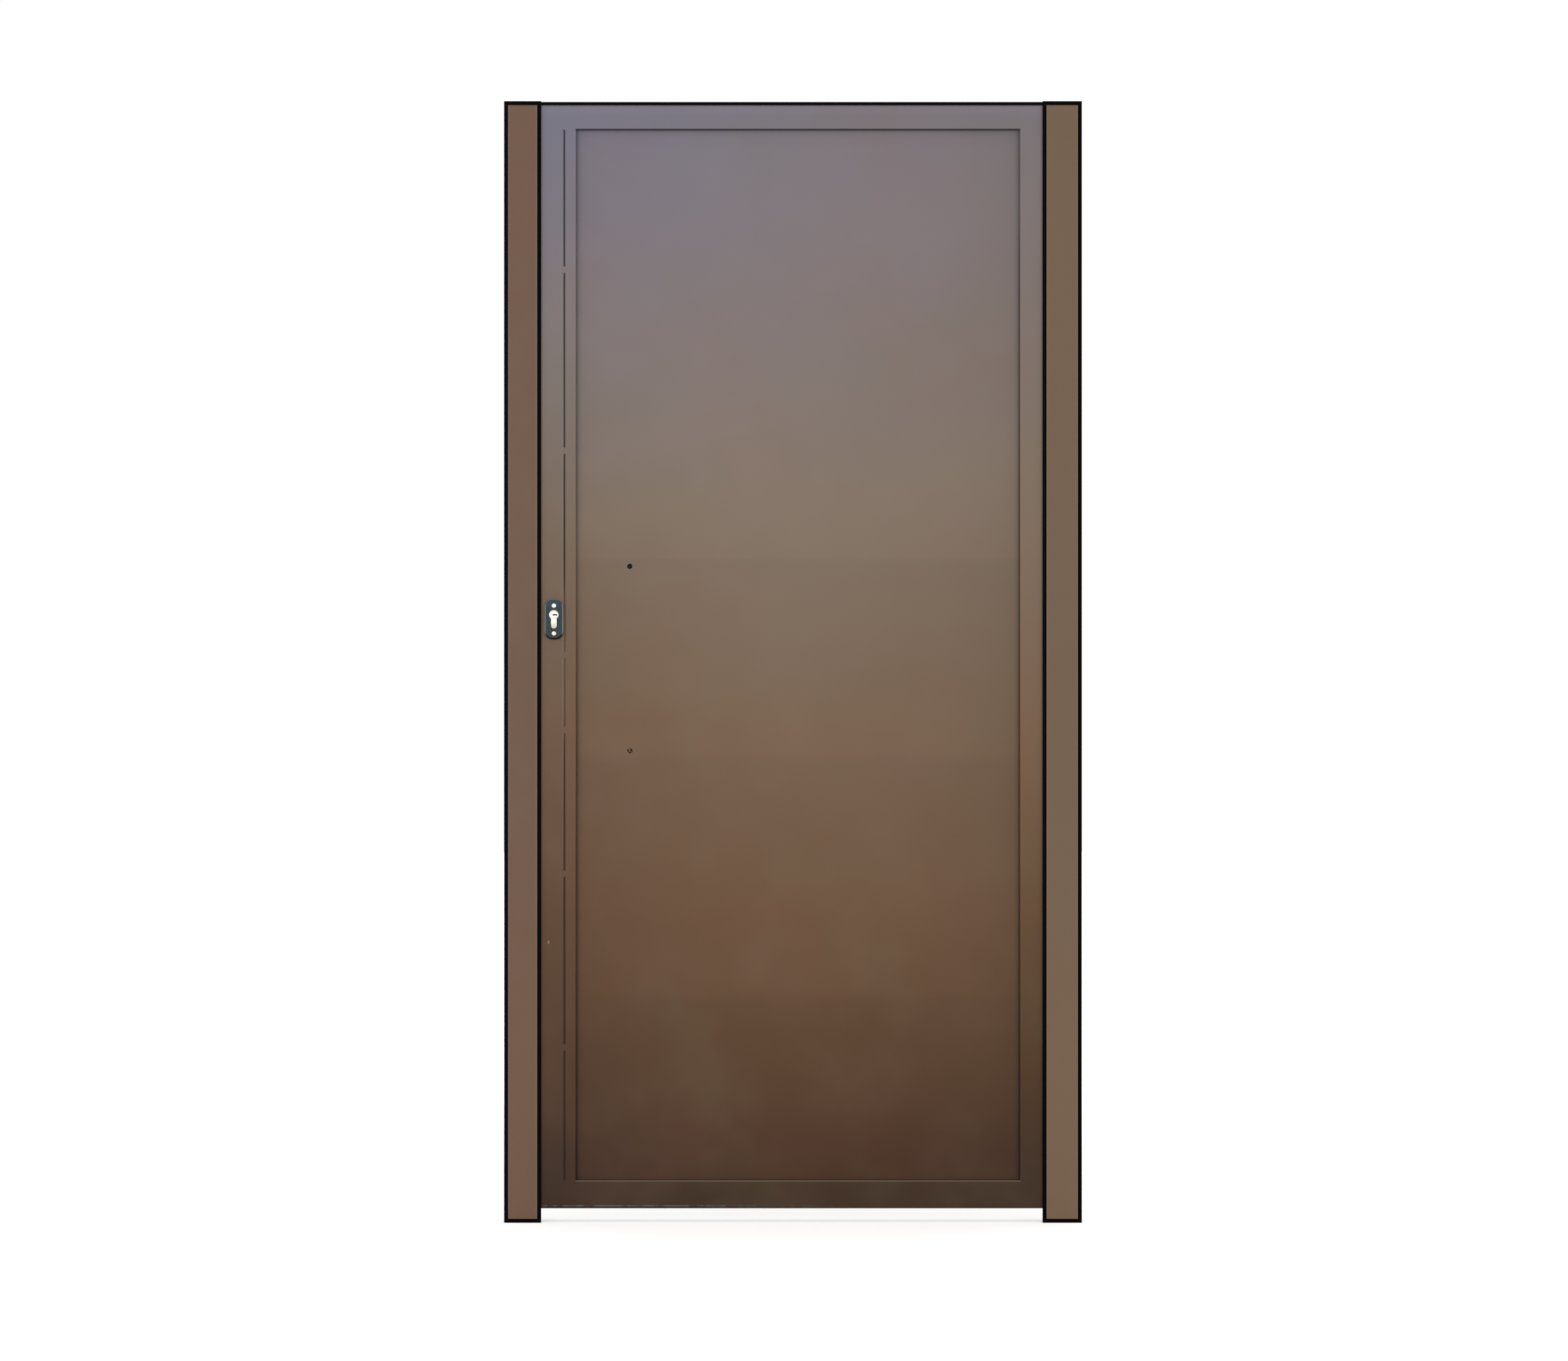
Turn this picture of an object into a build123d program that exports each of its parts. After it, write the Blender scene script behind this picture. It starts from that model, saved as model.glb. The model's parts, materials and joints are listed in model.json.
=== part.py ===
"""A painted steel door leaf hung between two steel posts.

X runs along the wall towards the hinge post, Y from the front to the back, Z up.
The origin is the middle of the hinge post's foot, on its underside. All sizes are in millimetres.
"""

import math
import os

from build123d import *

os.makedirs("parts", exist_ok=True)

# Posts
post_height = 2000
post_tube = 50
post_wall = 3
post_corner = 4
end_plate = 6
passage_width = 930
lock_post_front = 66
hinge_post_front = 70
edging_border = 7
edging_depth = 4
face_plate_setback = 1
head_bar_height = 5.5

# Leaf and the gaps round it
lock_gap = 8
hinge_gap = 10.5
floor_gap = 25
top_drop = 0.5
stop_gap = 1
leaf_tube = 50
leaf_wall = 2
leaf_corner = 2.5
inner_stile_width = 20

# Stitch welds in the seam beside the lock stile, by their height above the ground
weld_heights = (312, 622, 878, 1012, 1377, 1700)
weld_length = 10
weld_clearance = 0.05

# Sheet, the angles that hold it and the cross rails behind it
sheet_recess = 12
sheet_thickness = 2
angle_leg = 15
angle_thickness = 2
rail_height = 40
rail_depth = 20
rail_wall = 2
rail_corner = 2
rail_count = 4
lowest_bay = 346.5
highest_bay = 361

# Fixing holes of a pull handle that has been taken off
handle_inset = 95.5
handle_middle = 1006
handle_spacing = 330
handle_hole_radius = 4.8
anchor_width = 30
anchor_height = 16
anchor_depth = 12
anchor_hole_radius = 4
anchor_hole_depth = 10
screw_clearance = 0.1
screw_sunk = 4

# Lock
backset = 31
cylinder_height = 1084
cylinder_radius = 8.5
cylinder_tail_radius = 5
cylinder_total = 33
cylinder_proud = 2
cylinder_clearance = 0.3
plug_radius = 6.6
plug_clearance = 0.05
plug_length = 28
key_slot_length = 8
key_slot_width = 1.8
key_slot_jog = 0.9
key_slot_depth = 24
escutcheon_width = 33
escutcheon_height = 69
escutcheon_corner = 14
escutcheon_thickness = 8
escutcheon_bevel = 2
escutcheon_drop = 8.4
escutcheon_screw_spacing = 49.5
screw_head_radius = 4
screw_shank_radius = 2.4
screw_hole_clearance = 0.3
screw_head_sunk = 0.2
screw_head_angle = 90
screw_hold = 5
screw_thread_clearance = 0.1
lock_window_margin = 1
forend_width = 24
forend_height = 235
forend_thickness = 3
forend_corner = 3
forend_clearance = 0.2
case_depth = 42
case_height = 165
case_thickness = 16
case_wall = 1.5
case_drop = 4
bolt_height = 30
bolt_thickness = 12
bolt_rise = 38
bolt_length = 30
bolt_clearance = 0.3
strike_width = 24
strike_height = 90
strike_thickness = 1.5
strike_corner = 3
strike_clearance = 0.2
strike_window_margin = 4
strike_hole_margin = 1.5

# Hinges
hinge_inset = 230
knuckle_radius = 8
hinge_reach = 10
pin_radius = 5
pin_clearance = 0.05
half_height = 45
washer_thickness = 2
washer_clearance = 0.2
washer_bore_clearance = 0.3
flap_width = 32
flap_thickness = 4
flap_corner = 5
bore_cap = 4
pin_end_gap = 2

# Places worked out from the sizes above
post_front = -post_tube / 2
post_back = post_tube / 2
hinge_post_inner = -post_tube / 2
lock_post_inner = hinge_post_inner - passage_width
lock_post_middle = lock_post_inner - post_tube / 2
hinge_post_outer = post_tube / 2
lock_post_outer = lock_post_inner - post_tube
hinge_edging_inner = hinge_post_outer - hinge_post_front
lock_edging_inner = lock_post_outer + lock_post_front
edging_front = post_front - edging_depth

leaf_left = lock_post_inner + lock_gap
leaf_right = hinge_post_inner - hinge_gap
leaf_bottom = floor_gap
leaf_top = post_height - top_drop
leaf_front = post_front + stop_gap
leaf_back = leaf_front + leaf_tube
leaf_middle_y = (leaf_front + leaf_back) / 2

inner_stile_left = leaf_left + leaf_tube
opening_left = inner_stile_left + inner_stile_width
opening_right = leaf_right - leaf_tube
opening_bottom = leaf_bottom + leaf_tube
opening_top = leaf_top - leaf_tube
opening_width = opening_right - opening_left
opening_height = opening_top - opening_bottom
opening_middle_x = (opening_left + opening_right) / 2
opening_middle_z = (opening_bottom + opening_top) / 2
sheet_front = leaf_front + sheet_recess
sheet_back = sheet_front + sheet_thickness
rail_pitch = (opening_height - lowest_bay - highest_bay) / (rail_count - 1)
rail_heights = [opening_bottom + lowest_bay + step * rail_pitch for step in range(rail_count)]

handle_x = opening_left + handle_inset
handle_heights = [handle_middle - handle_spacing / 2, handle_middle + handle_spacing / 2]

cylinder_x = leaf_left + backset
cylinder_drop = cylinder_total - cylinder_radius - cylinder_tail_radius
cylinder_front = leaf_front - escutcheon_thickness - cylinder_proud
cylinder_back = leaf_back + escutcheon_thickness + cylinder_proud
bolt_middle = cylinder_height + bolt_rise
lock_middle = cylinder_height - case_drop
escutcheon_middle = cylinder_height - escutcheon_drop
screw_heights = [
    escutcheon_middle - escutcheon_screw_spacing / 2,
    escutcheon_middle + escutcheon_screw_spacing / 2,
]

pivot_x = hinge_post_inner - hinge_gap / 2
pivot_y = post_back + hinge_reach
hinge_heights = {"bottom": hinge_inset, "middle": post_height / 2, "top": post_height - hinge_inset}


def keep(piece, label):
    """Name a finished piece and write it."""
    piece.part.label = label
    export_step(piece.part, f"parts/{label}.step")


def facing(y):
    """A sketch plane across the doorway at depth y; an extrusion with a minus sign runs backwards."""
    return Plane.XZ.offset(-y)


def cylinder_profile(grow):
    """The key-shaped section of the lock cylinder: a round head with a narrower round-ended tail."""
    with Locations((cylinder_x, cylinder_height)):
        Circle(cylinder_radius + grow)
    with Locations((cylinder_x, cylinder_height - cylinder_drop / 2)):
        SlotCenterToCenter(cylinder_drop, 2 * (cylinder_tail_radius + grow), rotation=90)


def lock_window():
    """The window that the cylinder and the escutcheon screws pass through."""
    with Locations((cylinder_x, escutcheon_middle)):
        Rectangle(
            2 * (cylinder_radius + lock_window_margin),
            escutcheon_screw_spacing + 2 * (screw_shank_radius + lock_window_margin),
        )


def post_tube_part(middle):
    """One post's square tube, standing on its foot plate and closed by its cap."""
    with BuildPart() as tube:
        with BuildSketch(Plane.XY.offset(end_plate)):
            with Locations((middle, 0)):
                RectangleRounded(post_tube, post_tube, post_corner)
                hollow = post_tube - 2 * post_wall
                Rectangle(hollow, hollow, mode=Mode.SUBTRACT)
        extrude(amount=post_height - 2 * end_plate)
    return tube


def post_trim(name, middle, left, right):
    """The plates at a post's ends, and on its front the flat edging round a cover plate."""
    for label, height in (("foot", 0), ("cap", post_height - end_plate)):
        with BuildPart() as plate:
            with BuildSketch(Plane.XY.offset(height)):
                with Locations((middle, 0)):
                    Rectangle(post_tube, post_tube)
            extrude(amount=end_plate)
        keep(plate, f"{name}_{label}")

    centre = ((left + right) / 2, post_height / 2)
    inner_width = right - left - 2 * edging_border
    inner_height = post_height - 2 * edging_border
    with BuildPart() as edging:
        with BuildSketch(facing(edging_front)):
            with Locations(centre):
                Rectangle(right - left, post_height)
                Rectangle(inner_width, inner_height, mode=Mode.SUBTRACT)
        extrude(amount=-edging_depth)
    keep(edging, f"{name}_edging")

    with BuildPart() as face_plate:
        with BuildSketch(facing(edging_front + face_plate_setback)):
            with Locations(centre):
                Rectangle(inner_width, inner_height)
        extrude(amount=face_plate_setback - edging_depth)
    keep(face_plate, f"{name}_face_plate")


hinge_post_tube = post_tube_part(0)
keep(hinge_post_tube, "hinge_post_tube")
post_trim("hinge_post", 0, hinge_edging_inner, hinge_post_outer)

# The lock post's inner side has a rebate for the strike plate and a window for the bolt
with BuildPart() as lock_post_tube:
    add(post_tube_part(lock_post_middle).part)
    with BuildSketch(Plane.YZ.offset(lock_post_inner)):
        with Locations((leaf_middle_y, bolt_middle)):
            RectangleRounded(strike_width, strike_height, strike_corner)
    extrude(amount=-strike_thickness, mode=Mode.SUBTRACT)
    with BuildSketch(Plane.YZ.offset(lock_post_inner)):
        with Locations((leaf_middle_y, bolt_middle)):
            Rectangle(bolt_thickness + strike_window_margin, bolt_height + strike_window_margin)
    extrude(amount=-2 * post_wall, mode=Mode.SUBTRACT)
keep(lock_post_tube, "lock_post_tube")
post_trim("lock_post", lock_post_middle, lock_post_outer, lock_edging_inner)

with BuildPart() as strike_plate:
    with BuildSketch(Plane.YZ.offset(lock_post_inner)):
        with Locations((leaf_middle_y, bolt_middle)):
            RectangleRounded(
                strike_width - 2 * strike_clearance, strike_height - 2 * strike_clearance, strike_corner
            )
            Rectangle(
                bolt_thickness + strike_hole_margin,
                bolt_height + strike_hole_margin,
                mode=Mode.SUBTRACT,
            )
    extrude(amount=-strike_thickness)
keep(strike_plate, "strike_plate")

# The head bar ties the posts together and is the leaf's stop at the top. Its lower edge is level with the
# edgings' inner edge.
with BuildPart() as head_bar:
    head_bar_x = (lock_edging_inner + hinge_edging_inner) / 2
    with BuildSketch(facing(edging_front)):
        with Locations((head_bar_x, post_height - edging_border + head_bar_height / 2)):
            Rectangle(hinge_edging_inner - lock_edging_inner, head_bar_height)
    extrude(amount=-edging_depth)
keep(head_bar, "head_bar")


def tube_section():
    """The leaf's square tube in section, about the sketch's own location."""
    RectangleRounded(leaf_tube, leaf_tube, leaf_corner)
    hollow = leaf_tube - 2 * leaf_wall
    Rectangle(hollow, hollow, mode=Mode.SUBTRACT)


def mitre(x, z, towards_x, towards_z):
    """Cut the piece at 45 degrees through the leaf's corner, and keep the side it points to."""
    split(bisect_by=Plane(origin=(x, 0, z), z_dir=(towards_x, 0, towards_z)), keep=Keep.TOP)


with BuildPart() as top_rail:
    with BuildSketch(Plane.YZ.offset(leaf_left)):
        with Locations((leaf_middle_y, leaf_top - leaf_tube / 2)):
            tube_section()
    extrude(amount=leaf_right - leaf_left)
    mitre(leaf_left, leaf_top, 1, 1)
    mitre(leaf_right, leaf_top, -1, 1)
keep(top_rail, "leaf_top_rail")

with BuildPart() as bottom_rail:
    with BuildSketch(Plane.YZ.offset(leaf_left)):
        with Locations((leaf_middle_y, leaf_bottom + leaf_tube / 2)):
            tube_section()
    extrude(amount=leaf_right - leaf_left)
    mitre(leaf_left, leaf_bottom, 1, -1)
    mitre(leaf_right, leaf_bottom, -1, -1)
keep(bottom_rail, "leaf_bottom_rail")

with BuildPart() as hinge_stile:
    with BuildSketch(Plane.XY.offset(leaf_bottom)):
        with Locations((leaf_right - leaf_tube / 2, leaf_middle_y)):
            tube_section()
    extrude(amount=leaf_top - leaf_bottom)
    mitre(leaf_right, leaf_bottom, 1, 1)
    mitre(leaf_right, leaf_top, 1, -1)
keep(hinge_stile, "leaf_hinge_stile")

# The lock stile has a window under the escutcheons, for the cylinder and the screws, and a slot in its
# side for the forend
with BuildPart() as lock_stile:
    with BuildSketch(Plane.XY.offset(leaf_bottom)):
        with Locations((leaf_left + leaf_tube / 2, leaf_middle_y)):
            tube_section()
    extrude(amount=leaf_top - leaf_bottom)
    mitre(leaf_left, leaf_bottom, -1, 1)
    mitre(leaf_left, leaf_top, -1, -1)
    with BuildSketch(facing(leaf_front)):
        lock_window()
    extrude(amount=-leaf_tube, mode=Mode.SUBTRACT)
    with BuildSketch(Plane.YZ.offset(leaf_left)):
        with Locations((leaf_middle_y, lock_middle)):
            RectangleRounded(forend_width, forend_height, forend_corner)
    extrude(amount=leaf_tube / 2, mode=Mode.SUBTRACT)
keep(lock_stile, "leaf_lock_stile")

with BuildPart() as inner_stile:
    with BuildSketch(Plane.XY.offset(opening_bottom)):
        with Locations((inner_stile_left + inner_stile_width / 2, leaf_middle_y)):
            RectangleRounded(inner_stile_width, leaf_tube, leaf_corner)
            Rectangle(
                inner_stile_width - 2 * leaf_wall, leaf_tube - 2 * leaf_wall, mode=Mode.SUBTRACT
            )
    extrude(amount=opening_height)
keep(inner_stile, "leaf_inner_stile")

# Welds ground flush in front: stitches in the groove between the two round-edged tubes, and one across
# each end of the inner stile, where it meets the round edge of a rail. Their flanks slope at 45 degrees
# and just clear the rounding.
with BuildPart() as ground_welds:
    flank = leaf_corner * (2 - math.sqrt(2)) - weld_clearance
    for height in weld_heights:
        with BuildSketch(Plane.XY.offset(height - weld_length / 2)):
            with BuildLine():
                Polyline(
                    (inner_stile_left - flank, leaf_front),
                    (inner_stile_left, leaf_front + flank),
                    (inner_stile_left + flank, leaf_front),
                    close=True,
                )
            make_face()
        extrude(amount=weld_length)
    for edge, side in ((opening_top, 1), (opening_bottom, -1)):
        with BuildSketch(Plane.YZ.offset(inner_stile_left + leaf_corner)):
            with BuildLine():
                Polyline(
                    (leaf_front, edge),
                    (leaf_front + flank, edge),
                    (leaf_front, edge + side * flank),
                    close=True,
                )
            make_face()
        extrude(amount=inner_stile_width - 2 * leaf_corner)
keep(ground_welds, "ground_welds")

with BuildPart() as panel_sheet:
    with BuildSketch(facing(sheet_front)):
        with Locations((opening_middle_x, opening_middle_z)):
            Rectangle(opening_width, opening_height)
        with Locations(*[(handle_x, height) for height in handle_heights]):
            Circle(handle_hole_radius, mode=Mode.SUBTRACT)
    extrude(amount=-sheet_thickness)
keep(panel_sheet, "panel_sheet")

for number, height in enumerate(rail_heights, start=1):
    with BuildPart() as cross_rail:
        with BuildSketch(Plane.YZ.offset(opening_left)):
            with Locations((sheet_back + rail_depth / 2, height)):
                RectangleRounded(rail_depth, rail_height, rail_corner)
                Rectangle(
                    rail_depth - 2 * rail_wall, rail_height - 2 * rail_wall, mode=Mode.SUBTRACT
                )
        extrude(amount=opening_width)
    keep(cross_rail, f"cross_rail_{number}")


# The sheet is held by angles: one leg lies behind the sheet, the other on the frame
for label, edge, turn in (("top", opening_top, -1), ("bottom", opening_bottom, 1)):
    with BuildPart() as angle:
        with BuildSketch(Plane.YZ.offset(opening_left + angle_leg)):
            with Locations((sheet_back + angle_leg / 2, edge + turn * angle_thickness / 2)):
                Rectangle(angle_leg, angle_thickness)
            with Locations((sheet_back + angle_thickness / 2, edge + turn * angle_leg / 2)):
                Rectangle(angle_thickness, angle_leg)
        extrude(amount=opening_width - 2 * angle_leg)
    keep(angle, f"panel_angle_{label}")

rail_edges = [height + side * rail_height / 2 for height in rail_heights for side in (-1, 1)]
angle_ends = [opening_bottom, *rail_edges, opening_top]
for label, edge, turn in (("lock_side", opening_left, 1), ("hinge_side", opening_right, -1)):
    with BuildPart() as angle:
        for low, high in zip(angle_ends[0::2], angle_ends[1::2]):
            with BuildSketch(Plane.XY.offset(low)):
                with Locations((edge + turn * angle_thickness / 2, sheet_back + angle_leg / 2)):
                    Rectangle(angle_thickness, angle_leg)
                with Locations((edge + turn * angle_leg / 2, sheet_back + angle_thickness / 2)):
                    Rectangle(angle_leg, angle_thickness)
            extrude(amount=high - low)
    keep(angle, f"panel_angle_{label}")

# Blocks welded behind the sheet take the handle's screws; one screw is left in the lower block
with BuildPart() as handle_anchors:
    with BuildSketch(facing(sheet_back)):
        with Locations(*[(handle_x, height) for height in handle_heights]):
            Rectangle(anchor_width, anchor_height)
    extrude(amount=-anchor_depth)
    with BuildSketch(facing(sheet_back)):
        with Locations(*[(handle_x, height) for height in handle_heights]):
            Circle(anchor_hole_radius)
    extrude(amount=-anchor_hole_depth, mode=Mode.SUBTRACT)
keep(handle_anchors, "handle_anchors")

with BuildPart() as leftover_screw:
    with BuildSketch(facing(sheet_front + screw_sunk)):
        with Locations((handle_x, handle_heights[0])):
            Circle(anchor_hole_radius - screw_clearance)
    extrude(amount=sheet_front + screw_sunk - sheet_back - anchor_hole_depth)
keep(leftover_screw, "leftover_screw")

with BuildPart() as lock_forend:
    with BuildSketch(Plane.YZ.offset(leaf_left)):
        with Locations((leaf_middle_y, lock_middle)):
            RectangleRounded(
                forend_width - 2 * forend_clearance,
                forend_height - 2 * forend_clearance,
                forend_corner,
            )
        with Locations((leaf_middle_y, bolt_middle)):
            Rectangle(
                bolt_thickness + 2 * bolt_clearance,
                bolt_height + 2 * bolt_clearance,
                mode=Mode.SUBTRACT,
            )
    extrude(amount=forend_thickness)
keep(lock_forend, "lock_forend")

case_left = leaf_left + forend_thickness
with BuildPart() as lock_case:
    with BuildSketch(Plane.YZ.offset(case_left)):
        with Locations((leaf_middle_y, lock_middle)):
            Rectangle(case_thickness, case_height)
    extrude(amount=case_depth)
    with BuildSketch(Plane.YZ.offset(case_left)):
        with Locations((leaf_middle_y, lock_middle)):
            Rectangle(case_thickness - 2 * case_wall, case_height - 2 * case_wall)
    extrude(amount=case_depth - case_wall, mode=Mode.SUBTRACT)
    with BuildSketch(facing(leaf_front)):
        lock_window()
    extrude(amount=-leaf_tube, mode=Mode.SUBTRACT)
keep(lock_case, "lock_case")

with BuildPart() as lock_bolt:
    with BuildSketch(Plane.YZ.offset(leaf_left)):
        with Locations((leaf_middle_y, bolt_middle)):
            Rectangle(bolt_thickness, bolt_height)
    extrude(amount=bolt_length)
keep(lock_bolt, "lock_bolt")


def escutcheon(seat, outwards):
    """A thick plate with a bevelled rim round the cylinder; outwards is -1 in front and 1 behind."""
    with BuildPart() as plate:
        with BuildSketch(facing(seat)):
            with Locations((cylinder_x, escutcheon_middle)):
                RectangleRounded(escutcheon_width, escutcheon_height, escutcheon_corner)
        extrude(amount=-outwards * escutcheon_thickness)
        rim = plate.faces().sort_by(Axis.Y)[0 if outwards < 0 else -1].edges()
        chamfer(rim, escutcheon_bevel)
        with BuildSketch(facing(seat)):
            cylinder_profile(cylinder_clearance)
        extrude(amount=-outwards * escutcheon_thickness, mode=Mode.SUBTRACT)
    return plate


# The front plate has holes for two screws, with a countersink for each head
with BuildPart() as escutcheon_front:
    add(escutcheon(leaf_front, -1).part)
    with Locations(facing(leaf_front - escutcheon_thickness)):
        with Locations(*[(cylinder_x, height) for height in screw_heights]):
            CounterSinkHole(
                radius=screw_shank_radius + screw_hole_clearance,
                counter_sink_radius=screw_head_radius + screw_hole_clearance,
                depth=escutcheon_thickness,
                counter_sink_angle=screw_head_angle,
            )
keep(escutcheon_front, "escutcheon_front")

# The back plate takes the ends of the same screws in blind holes
with BuildPart() as escutcheon_back:
    add(escutcheon(leaf_back, 1).part)
    with BuildSketch(facing(leaf_back)):
        with Locations(*[(cylinder_x, height) for height in screw_heights]):
            Circle(screw_shank_radius + screw_thread_clearance)
    extrude(amount=-screw_hold - screw_hole_clearance, mode=Mode.SUBTRACT)
keep(escutcheon_back, "escutcheon_back")

# Each screw is turned about its own line: a flat countersunk head and a shank into the back plate
with BuildPart() as escutcheon_screws:
    head_face = leaf_front - escutcheon_thickness + screw_head_sunk
    head_height = (screw_head_radius - screw_shank_radius) / math.tan(math.radians(screw_head_angle / 2))
    shank_end = leaf_back + screw_hold
    with BuildSketch(Plane.XY.offset(screw_heights[0])):
        with BuildLine():
            Polyline(
                (cylinder_x, head_face),
                (cylinder_x + screw_head_radius, head_face),
                (cylinder_x + screw_shank_radius, head_face + head_height),
                (cylinder_x + screw_shank_radius, shank_end),
                (cylinder_x, shank_end),
                close=True,
            )
        make_face()
    revolve(axis=Axis((cylinder_x, 0, screw_heights[0]), (0, 1, 0)))
    add(escutcheon_screws.part.moved(Location((0, 0, escutcheon_screw_spacing))))
keep(escutcheon_screws, "escutcheon_screws")

with BuildPart() as cylinder_body:
    with BuildSketch(facing(cylinder_front)):
        cylinder_profile(0)
    extrude(amount=cylinder_front - cylinder_back)
    for start, into in ((cylinder_front, -1), (cylinder_back, 1)):
        with BuildSketch(facing(start)):
            with Locations((cylinder_x, cylinder_height)):
                Circle(plug_radius + plug_clearance)
        extrude(amount=into * plug_length, mode=Mode.SUBTRACT)
keep(cylinder_body, "cylinder_body")


def key_plug(start, into):
    """One end's plug, with a jogged keyway across its face."""
    with BuildPart() as plug:
        with BuildSketch(facing(start)):
            with Locations((cylinder_x, cylinder_height)):
                Circle(plug_radius)
        extrude(amount=into * plug_length)
        with BuildSketch(facing(start)):
            for side in (-1, 1):
                with Locations((
                    cylinder_x + side * (key_slot_length - key_slot_width) / 4,
                    cylinder_height + side * key_slot_jog / 2,
                )):
                    Rectangle((key_slot_length + key_slot_width) / 2, key_slot_width)
        extrude(amount=into * key_slot_depth, mode=Mode.SUBTRACT)
    return plug


keep(key_plug(cylinder_front, -1), "key_plug_front")
keep(key_plug(cylinder_back, 1), "key_plug_back")


def hinge_flap(away, base):
    """The outline of a hinge's flap, which ends under the knuckle; away is the side it reaches to."""
    with Locations((pivot_x + away * flap_width / 2, base + half_height / 2)):
        flap = Rectangle(flap_width, half_height)
    chamfer(flap.vertices().group_by(Axis.X)[-1 if away > 0 else 0], flap_corner)


washer_bases = []
for label, middle in hinge_heights.items():
    lower_base = middle - half_height - washer_thickness / 2
    washer_base = lower_base + half_height
    upper_base = washer_base + washer_thickness + washer_clearance
    washer_bases.append(washer_base)
    pin_top = upper_base + half_height - bore_cap - pin_end_gap

    with BuildPart() as post_half:
        with BuildSketch(facing(post_back)):
            hinge_flap(1, lower_base)
        extrude(amount=-flap_thickness)
        with BuildSketch(Plane.XY.offset(lower_base)):
            with Locations((pivot_x, pivot_y)):
                Circle(knuckle_radius)
        extrude(amount=half_height)
        with BuildSketch(Plane.XY.offset(lower_base)):
            with Locations((pivot_x, pivot_y)):
                Circle(pin_radius)
        extrude(amount=pin_top - lower_base)
    keep(post_half, f"hinge_{label}_post_half")

    with BuildPart() as leaf_half:
        with BuildSketch(facing(leaf_back)):
            hinge_flap(-1, upper_base)
        extrude(amount=-flap_thickness)
        with BuildSketch(Plane.XY.offset(upper_base)):
            with Locations((pivot_x, pivot_y)):
                Circle(knuckle_radius)
        extrude(amount=half_height)
        with BuildSketch(Plane.XY.offset(upper_base)):
            with Locations((pivot_x, pivot_y)):
                Circle(pin_radius + pin_clearance)
        extrude(amount=half_height - bore_cap, mode=Mode.SUBTRACT)
    keep(leaf_half, f"hinge_{label}_leaf_half")

with BuildPart() as hinge_washers:
    for base in washer_bases:
        with BuildSketch(Plane.XY.offset(base)):
            with Locations((pivot_x, pivot_y)):
                Circle(knuckle_radius)
                Circle(pin_radius + washer_bore_clearance, mode=Mode.SUBTRACT)
        extrude(amount=washer_thickness)
keep(hinge_washers, "hinge_washers")
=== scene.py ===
"""Finishes and fine pieces of a painted steel door leaf hung between two steel posts.

Metres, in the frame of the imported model: X runs towards the hinge post's outer side, Y from the front
to the back, Z up. The origin is the middle of the hinge post's foot.
"""

import json
import math

import bmesh
import bpy
import numpy as np
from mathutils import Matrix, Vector


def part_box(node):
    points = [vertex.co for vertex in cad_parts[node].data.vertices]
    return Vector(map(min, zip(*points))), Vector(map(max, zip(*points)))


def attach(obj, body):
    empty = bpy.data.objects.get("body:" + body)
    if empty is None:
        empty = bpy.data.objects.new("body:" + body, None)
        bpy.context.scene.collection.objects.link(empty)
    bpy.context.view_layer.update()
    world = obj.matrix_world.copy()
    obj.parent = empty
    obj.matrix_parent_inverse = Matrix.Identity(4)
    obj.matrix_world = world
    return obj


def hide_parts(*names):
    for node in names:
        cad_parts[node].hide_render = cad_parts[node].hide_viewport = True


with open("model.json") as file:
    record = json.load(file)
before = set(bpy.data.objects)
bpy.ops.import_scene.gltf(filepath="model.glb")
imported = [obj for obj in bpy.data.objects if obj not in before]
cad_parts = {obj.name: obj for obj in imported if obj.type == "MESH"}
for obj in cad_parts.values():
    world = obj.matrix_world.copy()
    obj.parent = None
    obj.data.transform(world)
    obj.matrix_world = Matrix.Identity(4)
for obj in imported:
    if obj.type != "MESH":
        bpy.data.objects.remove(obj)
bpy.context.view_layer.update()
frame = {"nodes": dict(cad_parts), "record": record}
nodes = frame["nodes"]
MM = 0.001
TURN = 2 * math.pi


# Shader maths


class Wire:
    """One output of a finish's nodes.

    The operators add Math nodes. In a sum, a difference or a product the wire may stand on either side.
    """

    def __init__(self, finish, socket):
        self.finish = finish
        self.socket = socket

    def math(self, operation, *values):
        """A Math node on the values, which are wires or numbers."""
        return self.finish.node("Math", {"operation": operation}, dict(enumerate(values)))

    def __add__(self, other):
        return self.math("ADD", self, other)

    def __sub__(self, other):
        return self.math("SUBTRACT", self, other)

    def __rsub__(self, other):
        return self.math("SUBTRACT", other, self)

    def __mul__(self, other):
        return self.math("MULTIPLY", self, other)

    def __truediv__(self, other):
        return self.math("DIVIDE", self, other)

    def __pow__(self, other):
        return self.math("POWER", self, other)

    def __abs__(self):
        return self.math("ABSOLUTE", self)

    __radd__ = __add__
    __rmul__ = __mul__

    def least(self, other):
        return self.math("MINIMUM", self, other)

    def most(self, other):
        return self.math("MAXIMUM", self, other)

    def rise(self, low, high):
        """0 up to low, 1 from high on, and an even S between them. With low above high it falls."""
        settings = {"interpolation_type": "SMOOTHSTEP"}
        return self.finish.node("MapRange", settings, {"Value": self, "From Min": low, "From Max": high})

    def band(self, start, first, last, end):
        """1 from first to last, 0 before start and after end, and an even S between them."""
        return self.rise(start, first) * self.rise(end, last)


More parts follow.
